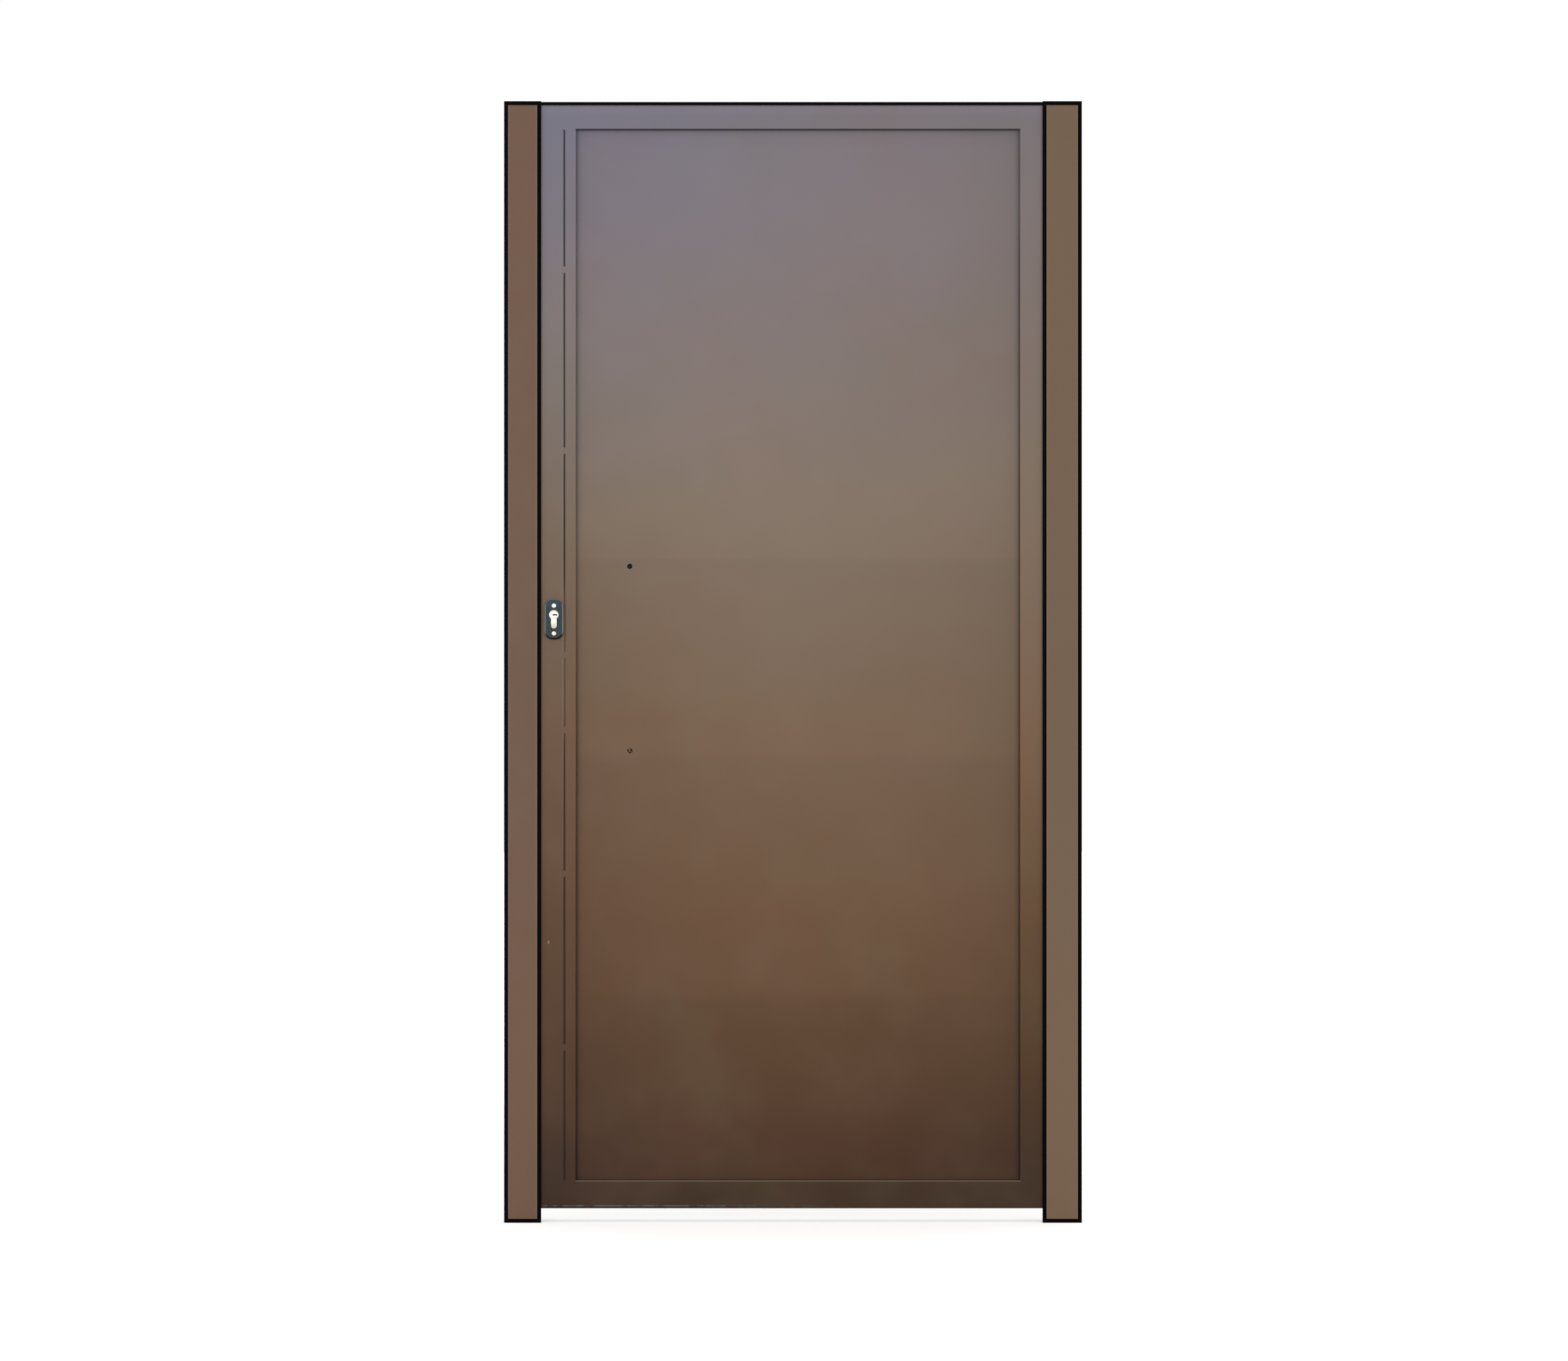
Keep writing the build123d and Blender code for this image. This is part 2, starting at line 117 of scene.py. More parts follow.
class Finish:
    """A material on the Principled shader, whose varying inputs are expressions on the place in the object.

    x, y and z are the place in metres.
    """

    def __init__(self, name, **even):
        self.material = bpy.data.materials.new(name)
        self.material.use_nodes = True
        self.tree = self.material.node_tree
        self.shader = self.tree.nodes["Principled BSDF"]
        for socket, value in even.items():
            self.shader.inputs[socket.replace("_", " ")].default_value = value
        self.place = self.node("TexCoord", {}, {}, "Object")
        self.x, self.y, self.z = (self.node("SeparateXYZ", {}, {"Vector": self.place}, k) for k in range(3))

    def node(self, kind, settings, sockets, output=0):
        """Add a node: first its settings, then the numbers or wires of its sockets. Gives one output."""
        made = self.tree.nodes.new("ShaderNode" + kind)
        for name, value in settings.items():
            if name == "stops":
                self.set_stops(made.color_ramp, value)
            else:
                setattr(made, name, value)
        for name, value in sockets.items():
            if isinstance(value, Wire):
                self.tree.links.new(value.socket, made.inputs[name])
            else:
                made.inputs[name].default_value = value
        return Wire(self, made.outputs[output])

    def set_stops(self, ramp, stops):
        """The stops of a colour ramp, as (place from 0 to 1, colour or grey)."""
        while len(ramp.elements) < len(stops):
            ramp.elements.new(1)
        for element, (place, colour) in zip(ramp.elements, stops):
            element.position = place
            element.color = colour if isinstance(colour, tuple) else (colour, colour, colour, 1)

    def set(self, **sockets):
        """Feed the shader's sockets from wires."""
        for name, wire in sockets.items():
            self.tree.links.new(wire.socket, self.shader.inputs[name.replace("_", " ")])

    def noise(self, scale, detail=2, stretch=(1, 1, 1), shift=0):
        """Fractal noise from 0 to 1, even around 0.5; scale is in waves per metre."""
        sockets = {"Vector": self.place, "Scale": stretch, "Location": (shift,) * 3}
        spread = self.node("Mapping", {}, sockets)
        return self.node("TexNoise", {}, {"Vector": spread, "Scale": scale, "Detail": detail})

    def ramp(self, value, stops):
        """A colour or grey read off along stops."""
        return self.node("ValToRGB", {"stops": stops}, {"Fac": value})

    def mix(self, share, below, above):
        """The colour below where share is 0 and above where it is 1."""
        return self.node("Mix", {"data_type": "RGBA"}, {0: share, 6: below, 7: above}, 2)

    def dim(self, colour, factor):
        """A colour times a number."""
        return self.node("VectorMath", {"operation": "SCALE"}, {"Vector": colour, "Scale": factor})

    def tint(self, share, below, glaze):
        """The colour below where share is 0, and below times the glaze (red, green, blue) where it is 1."""
        settings = {"data_type": "RGBA", "blend_type": "MULTIPLY"}
        return self.node("Mix", settings, {0: share, 6: below, 7: (*glaze, 1)}, 2)

    def bump(self, height, depth):
        """The shader's normal tilted by a height from 0 to 1, which stands for depth in metres."""
        self.set(Normal=self.node("Bump", {}, {"Height": height, "Distance": depth}))


def colour(*rgb):
    """A colour written as 0 to 255 on screen, in the linear values that a shader takes."""
    share = np.array(rgb) / 255
    linear = np.where(share <= 0.04045, share / 12.92, ((share + 0.055) / 1.055) ** 2.4)
    return (*linear.tolist(), 1.0)


# How strongly the satin paint's coat mirrors, and the grey that this adds to it in pale surroundings
PAINT_GLOSS = 0.25
GLOSS_GREY = 0.015


def satin(*rgb):
    """A satin paint's own colour, from the one seen with its gloss over it."""
    seen = np.array(colour(*rgb)[:3])
    return (*np.maximum(seen - GLOSS_GREY, 0.003).tolist(), 1.0)


# Finishes

# The leaf's paint by height in metres: mauve grey at the top, through taupe, to dark brown at the foot.
# Its greying towards the top is a painted reflection of the sky on the brown satin paint.
FRAME_TONES = (
    (0.03, satin(65, 48, 31)),
    (0.25, satin(81, 57, 37)),
    (0.55, satin(98, 73, 50)),
    (0.90, satin(116, 91, 71)),
    (1.25, satin(122, 107, 93)),
    (1.60, satin(124, 114, 113)),
    (1.95, satin(119, 115, 125)),
)
SHEET_TONES = (
    (0.08, satin(76, 51, 32)),
    (0.25, satin(88, 63, 42)),
    (0.55, satin(105, 78, 56)),
    (0.90, satin(115, 93, 73)),
    (1.25, satin(125, 110, 97)),
    (1.60, satin(124, 114, 115)),
    (1.92, satin(120, 115, 124)),
)
# How far the tone slips down at the hinge side, in metres, by height
SLIP = ((0.0, 0.04), (0.35, 0.03), (0.55, 0.0), (0.9, 0.0), (1.35, 0.10), (1.9, 0.22))
# Painted light: how much lighter the frame's paint is made at the hinge side than at the lock side, by
# height
SIDE_LIGHT = ((0.3, 0.05), (0.6, 0.10), (0.85, 0.20), (1.2, 0.17), (1.5, 0.06), (1.8, 0.0))
RAMP_HEIGHT = 2.0
# Glazes of painted shade that darken and warm the lock side's lower part, on the frame and on the sheet,
# and a bluer glaze of painted sky reflection for the top of the lock side
LOCK_SHADE_GLAZE = (0.91, 0.83, 0.72)
LOCK_SHEET_SHADE_GLAZE = (0.91, 0.83, 0.69)
TOP_SKY_GLAZE = (0.99, 1.01, 1.09)

# The leaf's upper edge, and the planes of its frame and its sheet that face the viewer
LEAF_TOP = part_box("leaf_top_rail")[1].z
LEAF_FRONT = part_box("leaf_lock_stile")[0].y
SHEET_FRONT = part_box("panel_sheet")[0].y

# The rails behind the sheet: their middles' heights, and how far up and down the sheet lies on one
RAIL_HEIGHTS = [sum(c.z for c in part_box(f"cross_rail_{k}")) / 2 for k in range(1, 5)]
RAIL_PRINT = 18 * MM

# The pull-handle holes, lower one first
HOLE_X = sum(c.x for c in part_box("handle_anchors")) / 2
HOLE_HEIGHTS = (0.841, 1.171)
HOLE_RADIUS = 4.8 * MM

# The lock: its axis, its key plug's height and the middle of the escutcheons
CYLINDER_X = -0.916
CYLINDER_Z = 1.084
PLATE_Z = 1.0756

# The seam between the lock stile and the inner stile, and the heights of its welds
SEAM_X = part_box("leaf_inner_stile")[0].x
SEAM_WELDS = (0.312, 0.622, 0.878, 1.012, 1.377, 1.700)

# The chip in the lock stile's paint: its middle (X, Z) and its half width and half height
CHIP_AT = (-0.9262, 0.500)
CHIP_SIZE = (1.5 * MM, 3.0 * MM)


def by_height(stops):
    """Stops given by height in metres, as places along a ramp."""
    return [(z / RAMP_HEIGHT, value) for z, value in stops]


def leaf_paint(name, sheet=False):
    """Satin paint whose tone follows the height, with faint mauve and olive drifts and a fine peel. The
    tone's greying towards the top is a painted sky reflection, and painted shade darkens the lock side's
    lower part.

    The sheet's tone also steps at the rails behind it, as painted shading of its bow, and falls off to its
    sides as painted shade. The frame is made lighter by painted light beside the posts, under the head bar,
    along the middle of the bottom rail and towards the hinge side.
    """
    coat = Finish(name, Specular_IOR_Level=PAINT_GLOSS)
    low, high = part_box("leaf_bottom_rail")
    middle, half = (low.x + high.x) / 2, (high.x - low.x) / 2
    side = (coat.x - low.x) / (high.x - low.x)
    level = coat.z / RAMP_HEIGHT
    drift = coat.noise(2.1, 3, stretch=(1, 1, 0.6)) - 0.5
    slip = side * coat.ramp(level, by_height(SLIP))
    height = (coat.z + drift * 0.12 - slip) / RAMP_HEIGHT
    # The tone by height: brown paint, greyed towards the top by the painted sky reflection
    tone = coat.ramp(height, by_height(SHEET_TONES if sheet else FRAME_TONES))
    mauve = coat.noise(4.3, 3, shift=3).rise(0.42, 0.72) * 0.22
    olive = coat.noise(5.7, 3, shift=9).rise(0.46, 0.74) * 0.16
    light = 1 + (coat.noise(3.1, 4, shift=17) - 0.5) * 0.10
    if sheet:
        # Painted shading: the sheet's tone steps where its bow turns over the rails behind it, and painted
        # shade darkens it towards its sides
        lower, second, third, upper = RAIL_HEIGHTS
        stops = [(0.04, 0.5)]
        for edge in (lower - RAIL_PRINT, second + RAIL_PRINT, third - RAIL_PRINT):
            stops += [(edge - 2 * MM, 0.465), (edge + 2 * MM, 0.535)]
        bays = coat.ramp(level, by_height([*stops, (upper, 0.49)]))
        across = (coat.x - middle) / half
        light = (light + (bays - 0.5)) * (1.07 - across * across * (0.22 - coat.z * 0.06))
    else:
        # Painted light: lighter towards the hinge side, beside the posts, under the head bar and along the
        # middle of the bottom rail
        light = light + (side - 0.5) * coat.ramp(level, by_height(SIDE_LIGHT))
        by_post = (half - abs(coat.x - middle)).rise(10.75 * MM, 4.25 * MM) * 0.18
        under_bar = (LEAF_TOP - coat.z).rise(27.5 * MM, 7.5 * MM) * 0.16
        on_rail = coat.z.rise(high.z + 2 * MM, high.z - 5 * MM) * (side * (1 - side)) * 0.5
        light = light + by_post.most(under_bar) + on_rail
    tone = coat.mix(mauve, tone, coat.dim(tone, 1.04))
    tone = coat.mix(mauve * 0.5, tone, satin(132, 100, 88))
    tone = coat.mix(olive * 0.8, tone, satin(112, 104, 80))
    tone = coat.dim(tone, light)
    # Painted shade on the lock side's lower part, and a painted sky reflection bluer at its top
    lock_side = side.rise(0.5, 0.0) * coat.z.rise(1.55, 1.00)
    tone = coat.tint(lock_side, tone, LOCK_SHEET_SHADE_GLAZE if sheet else LOCK_SHADE_GLAZE)
    tone = coat.tint(side.rise(0.6, 0.0) * coat.z.rise(1.6, 1.8), tone, TOP_SKY_GLAZE)
    peel = coat.noise(900, 2)
    if sheet:
        tone = sheet_shade_and_wear(coat, tone)
    else:
        tone = recess_shade_and_highlight(coat, side, tone)
        tone = seam_shade_and_highlight(coat, tone)
        tone = plate_shade(coat, tone)
        tone = foot_shade_and_highlight(coat, tone)
        across = (coat.x - CHIP_AT[0]) / CHIP_SIZE[0]
        up = (coat.z - CHIP_AT[1]) / CHIP_SIZE[1]
        ragged = across**2 + up**2 + (coat.noise(420, 2) - 0.5) * 1.6
        chip = ragged.rise(1.15, 0.85) * behind_front(coat).rise(4, 2)
        tone = coat.mix(chip, tone, colour(142, 122, 102))
        peel = peel - chip * 2
    coat.set(Base_Color=tone, Roughness=0.40 + (coat.noise(14, 3, shift=5) - 0.5) * 0.16)
    coat.bump(peel, 0.00006)
    return coat.material


def behind_front(coat):
    """How far a place lies behind the leaf's front, in millimetres."""
    return (coat.y - LEAF_FRONT) / MM


def recess(coat):
    """How far a place lies inside the recess's four edges, in millimetres: left, right, foot and top."""
    low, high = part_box("panel_sheet")
    return (coat.x - low.x) / MM, (high.x - coat.x) / MM, (coat.z - low.z) / MM, (high.z - coat.z) / MM


def browned(coat):
    """1 in the lower part of the leaf, where the painted shade is tinted brown, and 0 in the upper part."""
    return coat.z.rise(1.20, 0.80)


def sheet_shade_and_wear(coat, tone):
    """The tone with painted shade along the sheet's sides, and paler rims round the handle holes.

    The rims are paint rubbed thin with a painted highlight on them, most at the lower hole's lower left.
    """
    left, right, _, _ = recess(coat)
    brown = browned(coat)
    # Painted shade along the sheet's sides, browner low down, and in its top corner at the hinge side
    lock_side = left.rise(4.6, 3.2) * (brown * 0.14 + 0.14) + left.rise(13, 3) * (brown * 0.05 + 0.09)
    hinge_side = right.rise(3.2, 0.3) * (brown * 0.16 + 0.26) + right.rise(13, 2) * 0.06
    corner = right.rise(1.9, 0.9) * coat.z.rise(1.90, 1.70) * 0.74
    painted_shade = lock_side.most(hinge_side).most(corner)
    tone = coat.tint(painted_shade.rise(0.0, 0.25) * brown, tone, (1.06, 0.92, 0.66))
    tone = coat.dim(tone, 1 - painted_shade)
    # Paler rims round the handle holes: paint rubbed thin, with a painted highlight
    across = (coat.x - HOLE_X) / MM
    lower, upper = ((coat.z - height) / MM for height in HOLE_HEIGHTS)
    rims = [((across**2 + above**2) ** 0.5).rise(6.1, 5.4) for above in (lower, upper)]
    paler_share = (rims[0] * (across + 2 * lower).rise(1, -7) * 0.42).most(rims[1] * 0.16)
    return coat.mix(paler_share, tone, colour(176, 164, 148))


def recess_shade_and_highlight(coat, side, tone):
    """The tone with painted shade darkening the recess's walls, most at the top and the hinge side.

    A painted highlight makes the inner stile's edge a little lighter, and the bottom rail's too.
    """
    left, right, up, down = recess(coat)
    deep = behind_front(coat)
    inside = left.rise(-1.2, -0.6) * right.rise(-1.2, -0.6)
    foot = up.rise(1, 0) * deep.rise(0.2, 1.4) * 0.52
    top = down.rise(1, 0) * 0.74
    hinge_side = side.rise(0.4, 0.6) * (0.40 + coat.z.rise(1.6, 1.2) * 0.16)
    flanks = deep.rise(1.0, 2.2) * (0.16 + hinge_side)
    # Painted shade on the recess's walls, browner low down
    walls = inside * up.rise(-1.2, -0.6) * down.rise(-2.6, -1.9) * deep.rise(13.5, 12.5)
    walls = walls * flanks.most(foot).most(top)
    tone = coat.tint(walls.rise(0.0, 0.2) * browned(coat), tone, (1.15, 0.92, 0.60))
    tone = coat.dim(tone, 1 - walls)
    # Painted highlight on the inner stile's round edge
    stile_edge = left.band(-3.3, -2.5, 1, 2) * deep.band(0, 0.2, 11, 12) * up.rise(0, 1) * down.rise(0, 1)
    lift = stile_edge * (0.45 + coat.z.band(0.60, 0.85, 1.15, 1.35) * 0.55)
    tone = coat.tint(lift, tone, (1.32, 1.34, 1.36))
    # Painted highlight on the bottom rail's upper edge
    ledge = inside * up.band(-1.9, -1.3, 0, 1) * deep.rise(2.4, 1.8)
    return coat.mix(ledge * 0.46, tone, colour(150, 136, 118))


def seam_shade_and_highlight(coat, tone):
    """The tone with the seam's dark line of painted shade between its welds, and a painted highlight on the
    edge to the left of it.

    The line is paler round the lock's height and a little in the leaf's upper part.
    """
    _, _, up, down = recess(coat)
    brown = browned(coat)
    weld = abs(coat.z - SEAM_WELDS[0])
    for height in SEAM_WELDS[1:]:
        weld = weld.least(abs(coat.z - height))
    open_seam = behind_front(coat).rise(12, 11) * (weld / MM).rise(5.2, 6.6)
    open_seam = open_seam * up.rise(-1, 0) * down.rise(-1, 0)
    across = (coat.x - SEAM_X) / MM
    paler_share = coat.z.band(0.82, 0.94, 1.06, 1.17) * 0.62 + coat.z.rise(1.25, 1.40) * 0.10
    # Painted shade along the open seam, tinted brown low down
    line = abs(across + 1.05).rise(1.70, 1.20) * open_seam * (0.99 - paler_share)
    tone = coat.tint(line * brown, tone, (0.20, 0.04, 0.01))
    tone = coat.dim(tone, 1 - line * (1 - brown))
    # Painted highlight on the lock stile's round edge beside the seam
    edge = across.band(-4.0, -3.3, -2.7, -2.3) * coat.z.band(0.55, 0.95, 1.30, 1.65)
    return coat.mix(edge * open_seam * 0.22, tone, colour(176, 166, 152))


def plate_shade(coat, tone):
    """The tone with a black crescent on the stile under the escutcheon's rounded foot."""
    off = abs(coat.x - CYLINDER_X) / MM
    below = (PLATE_Z - coat.z) / MM
    reach = ((off - 2.5).most(0) ** 2 + (below - 21.8).most(0) ** 2) ** 0.5
    crescent = reach.rise(14.5, 13.6) * below.rise(22, 26) * behind_front(coat).rise(2, 1)
    return coat.mix(crescent * 0.95, tone, colour(7, 7, 6))


def foot_shade_and_highlight(coat, tone):
    """The tone with the leaf's lower edge darkened by painted shade, and a broken greenish line of painted
    highlight over it at the lock side.
    """
    height = coat.z / MM
    lock_side = coat.x.rise(-0.35, -0.75)
    # Painted highlight: a broken greenish line above the lower edge
    line = height.rise(31.4, 30.4) * lock_side * coat.noise(60, 2, stretch=(1, 1, 0.2)).rise(0.35, 0.6)
    tone = coat.mix(line * 0.45, tone, colour(104, 122, 100))
    # Painted shade on the leaf's lower edge, darkest at the lock side
    hem = (height.rise(28.9, 27.9) * lock_side * 0.95).most(height.rise(27.6, 25.8) * 0.45)
    return coat.mix(hem, tone, colour(8, 9, 7))


def post_paint():
    """Satin brown paint, a little lighter along the cover plates' long edges, with painted light that
    lightens the posts towards their feet.
    """
    coat = Finish("post_brown", Specular_IOR_Level=PAINT_GLOSS)
    hinge_side = (coat.noise(3.3, 4) - 0.5) * 0.5 + coat.x.rise(-0.9, -0.1)
    tone = coat.mix(hinge_side, satin(113, 88, 71), satin(118, 97, 77))
    # Painted light: the posts are lightened towards their feet, falling off up to one metre
    tone = coat.dim(tone, 1.10 - coat.z.rise(-0.1, 1.0) * 0.17)
    paler_share = 0
    for plate in ("lock_post_face_plate", "hinge_post_face_plate"):
        low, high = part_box(plate)
        off = abs(coat.x - (low.x + high.x) / 2)
        half = (high.x - low.x) / 2
        paler_share = off.band(half - 3.5 * MM, half, half + 0.5 * MM, half + 1 * MM).most(paler_share)
    on_front = coat.y.rise(-26 * MM, -27 * MM)
    tone = coat.mix(paler_share * on_front * 0.6, tone, colour(138, 113, 92))
    coat.set(Base_Color=tone, Roughness=0.42 + (coat.noise(16, 3) - 0.5) * 0.16)
    coat.bump(coat.noise(900, 2), 0.00006)
    return coat.material


def black_paint():
    """Satin black paint, with faint brush-wide streaks along the height."""
    coat = Finish("satin_black", Specular_IOR_Level=0.03)
    streak = coat.noise(60, 3, stretch=(1, 1, 0.05))
    coat.set(
        Base_Color=coat.mix(streak, colour(1, 1, 1), colour(6, 6, 6)),
        Roughness=0.50 + (coat.noise(20, 3) - 0.5) * 0.2,
    )
    coat.bump(coat.noise(700, 2), 0.00008)
    return coat.material


def zinc_steel():
    """Zinc-plated steel: bright, with a faint spangle and drawn lines."""
    metal = Finish("zinc_steel", Metallic=1.0)
    spangle = metal.node("TexVoronoi", {}, {"Vector": metal.place, "Scale": 260}, "Color")
    shade = metal.mix(0.08, colour(206, 208, 208), spangle)
    lines = metal.noise(500, 2, stretch=(1, 1, 0.04))
    metal.set(
        Base_Color=metal.dim(shade, 0.94 + (lines - 0.5) * 0.14),
        Roughness=0.34 + (lines - 0.5) * 0.22,
    )
    metal.bump(lines, 0.00002)
    return metal.material


def slate_coat():
    """Slate grey coating on cast metal, bluer at the top by a painted sky reflection.

    The bevel round the face has a painted highlight, pale down its sides, and painted shade, dark round its
    foot.
    """
    coat = Finish("slate_coat", Specular_IOR_Level=0.08)
    cast = coat.mix(coat.noise(70, 3), colour(50, 60, 63), colour(60, 68, 71))
    off = abs(coat.x - CYLINDER_X)
    above = coat.z - PLATE_Z
    front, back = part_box("escutcheon_front")[0].y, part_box("escutcheon_back")[1].y
    from_face = (back - front) / 2 - abs(coat.y - (front + back) / 2)
    bevel = from_face.rise(0.02 * MM, 0.5 * MM)
    # Painted sky reflection bluer at the top, painted highlights pale down the bevel's sides, and painted
    # shade black round its foot
    cast = coat.mix(above.rise(22 * MM, 33 * MM) * 0.72, cast, colour(44, 76, 104))
    cast = coat.mix(bevel * off.rise(12.5 * MM, 15.5 * MM) * 0.55, cast, colour(164, 176, 180))
    cast = coat.mix(bevel * above.rise(-22 * MM, -29 * MM) * 0.95, cast, colour(7, 9, 9))
    coat.set(Base_Color=cast, Roughness=0.36 + (coat.noise(300, 2) - 0.5) * 0.14)
    coat.bump(coat.noise(1500, 3), 0.00004)
    return coat.material


def nickel_plate(name, shine, dull):
    """Satin nickel, with fine lines turned or milled into the face. The cylinder's tail is creamier."""
    metal = Finish(name, Metallic=0.55)
    lines = metal.noise(1500, 2, stretch=(0.08, 1, 1))
    cloud = metal.noise(120, 3, shift=4)
    tail = (CYLINDER_Z - metal.z).band(6 * MM, 11 * MM, 36 * MM, 40 * MM)
    shade = metal.mix((cloud * 0.4).most(tail * 0.8), shine, colour(236, 232, 210))
    metal.set(
        Base_Color=metal.dim(shade, 0.79 + (lines - 0.5) * 0.06),
        Roughness=dull + (lines - 0.5) * 0.16,
    )
    metal.bump(lines, 0.000015)
    return metal.material


def dark_bore():
    """The black oxide and grease inside a keyway."""
    coat = Finish("keyway_dark")
    grime = coat.noise(900, 3)
    coat.set(
        Base_Color=coat.mix(grime, colour(14, 13, 12), colour(34, 31, 28)),
        Roughness=0.7 + grime * 0.1,
    )
    return coat.material


def brass():
    """Plain brass, dulled in patches."""
    metal = Finish("plain_brass", Metallic=1.0)
    dull = metal.noise(160, 4)
    metal.set(
        Base_Color=metal.mix(dull.rise(0.4, 0.7), colour(206, 172, 98), colour(150, 116, 66)),
        Roughness=0.28 + dull * 0.3,
    )
    metal.bump(metal.noise(600, 2), 0.00003)
    return metal.material


def broken_steel():
    """The torn end of the screw: the sheet's paint on what stands out, painted shade dark in the gaps."""
    metal = Finish("torn_screw", Specular_IOR_Level=PAINT_GLOSS)
    rust = metal.noise(700, 4)
    paint = metal.mix(rust.rise(0.42, 0.6), colour(118, 95, 74), colour(108, 84, 62))
    # Painted shade: the deeper parts of the torn end are dark
    gap = metal.y.rise(SHEET_FRONT + 1.3 * MM, SHEET_FRONT + 2.6 * MM)
    metal.set(Base_Color=metal.mix(gap, paint, colour(22, 15, 9)), Roughness=0.5 + rust * 0.3)
    metal.bump(rust, 0.0002)
    return metal.material


def mill_scale():
    """Steel with its dark rolling skin, painted except where it lies against the sheet.

    Painted shade darkens a ring round each threaded hole.
    """
    metal = Finish("anchor_block", Metallic=0.3)
    skin = metal.noise(140, 4)
    bare = metal.mix(skin, colour(30, 28, 28), colour(58, 54, 52))
    behind = metal.y.rise(-9.6 * MM, -9.0 * MM)
    # The paint is paler higher up, following the leaf's tone and its painted sky reflection
    paint = metal.mix(metal.z.rise(0.9, 1.1), colour(116, 94, 76), colour(127, 111, 99))
    above = abs(metal.z - sum(HOLE_HEIGHTS) / 2) - (HOLE_HEIGHTS[1] - HOLE_HEIGHTS[0]) / 2
    off = ((metal.x - HOLE_X) ** 2 + above**2) ** 0.5
    steel = metal.mix(behind, bare, paint)
    # Painted shade darkens a ring round each threaded hole
    painted_shade = off.rise(5.4 * MM, 4.9 * MM)
    metal.set(Base_Color=metal.mix(painted_shade, steel, colour(14, 11, 9)), Roughness=0.5 + skin * 0.15)
    metal.bump(skin, 0.0001)
    return metal.material


def weld_metal(name, stops):
    """Painted weld: the tone follows the height by the stops, with a fine spatter."""
    coat = Finish(name, Specular_IOR_Level=PAINT_GLOSS)
    shade = coat.ramp(coat.z / RAMP_HEIGHT, stops)
    coat.set(
        Base_Color=coat.dim(shade, 0.9 + coat.noise(500, 3) * 0.12),
        Roughness=0.44 + coat.noise(60, 2) * 0.1,
    )
    coat.bump(coat.noise(1400, 3), 0.00015)
    return coat.material


LEAF = leaf_paint("leaf_frame_paint")
SHEET = leaf_paint("leaf_sheet_paint", sheet=True)
POST = post_paint()
BLACK = black_paint()
ZINC = zinc_steel()
SLATE = slate_coat()
NICKEL = nickel_plate("cylinder_nickel", colour(244, 243, 236), 0.34)
PLUG_NICKEL = nickel_plate("plug_nickel", colour(248, 248, 243), 0.30)
SCREW_NICKEL = nickel_plate("screw_nickel", colour(250, 250, 248), 0.28)
KEYWAY = dark_bore()
BRASS = brass()
TORN = broken_steel()
BLOCK = mill_scale()
WELD_LEAF = weld_metal("leaf_weld", by_height(FRAME_TONES))
WELD_POST = weld_metal("post_weld", [(0, satin(116, 95, 79)), (1, satin(118, 97, 80))])

SLOT_FINISH = {
    "leaf_paint": LEAF,
    "post_paint": POST,
    "black_paint": BLACK,
    "bright_steel": ZINC,
    "slate_plate": SLATE,
    "nickel": NICKEL,
    "washer_brass": BRASS,
}
for part in frame["record"]["subparts"]:
    nodes[part["node"]].data.materials.clear()
    nodes[part["node"]].data.materials.append(SLOT_FINISH[part["material_slot"]])
nodes["handle_anchors"].data.materials[0] = BLOCK


# Making pieces


def net(rows, columns, start=0, round_=True):
    """The quads between neighbours of a grid of points; a round grid joins its last column to the first."""
    across = columns if round_ else columns - 1
    row, column = np.meshgrid(np.arange(rows - 1), np.arange(across), indexing="ij")
    after = (column + 1) % columns
    quads = np.stack([row * columns + column, row * columns + after,
                      (row + 1) * columns + after, (row + 1) * columns + column], -1)
    return quads.reshape(-1, 4) + start


def smooth(value, low, high):
    """0 up to low, 1 from high on, and an even S between them."""
    share = np.clip((value - low) / (high - low), 0, 1)
    return share * share * (3 - 2 * share)


class Mesh:
    """Grids of points gathered into one piece. Points that meet are merged, and faces turned outwards."""

    def __init__(self):
        self.points = []
        self.quads = []
        self.kinds = []
        self.count = 0

    def add(self, points, round_=True, kind=0, skip=None):
        """Join one grid of points, shaped (rows, columns, 3). skip marks quads that are left open."""
        rows, columns = points.shape[:2]
        quads = net(rows, columns, self.count, round_)
        if skip is not None:
            quads = quads[~skip.reshape(-1)]
        self.points.append(points.reshape(-1, 3))
        self.quads.append(quads)
        self.kinds.append(np.full(len(quads), kind))
        self.count += rows * columns

    def patch(self, x, y, z):
        """A skin 0.3 mm thick whose front is the open grid (x, y, z), closed round its edge."""
        front = np.stack([x, y, z], -1)
        back = front + (0, 0.3 * MM, 0)
        self.add(front, round_=False)
        self.add(back, round_=False)
        self.add(np.stack([
            np.concatenate([grid[0], grid[1:, -1], grid[-1, -2::-1], grid[-2:0:-1, 0]])
            for grid in (front, back)]))

    def build(self, name, body, slot, finishes, replaces=(), crease=35):
        """Write the mesh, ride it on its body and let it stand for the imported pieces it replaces."""
        mesh = bpy.data.meshes.new(name)
        points = np.concatenate(self.points)
        quads = np.concatenate(self.quads)
        mesh.vertices.add(len(points))
        mesh.vertices.foreach_set("co", points.astype(np.float32).ravel())
        mesh.loops.add(quads.size)
        mesh.loops.foreach_set("vertex_index", quads.astype(np.int32).ravel())
        mesh.polygons.add(len(quads))
        mesh.polygons.foreach_set("loop_start", np.arange(0, quads.size, 4, dtype=np.int32))
        mesh.polygons.foreach_set("material_index", np.concatenate(self.kinds).astype(np.int32))
        mesh.update(calc_edges=True)
        finish_mesh(mesh, crease)
        place(name, mesh, body, slot, finishes, replaces)


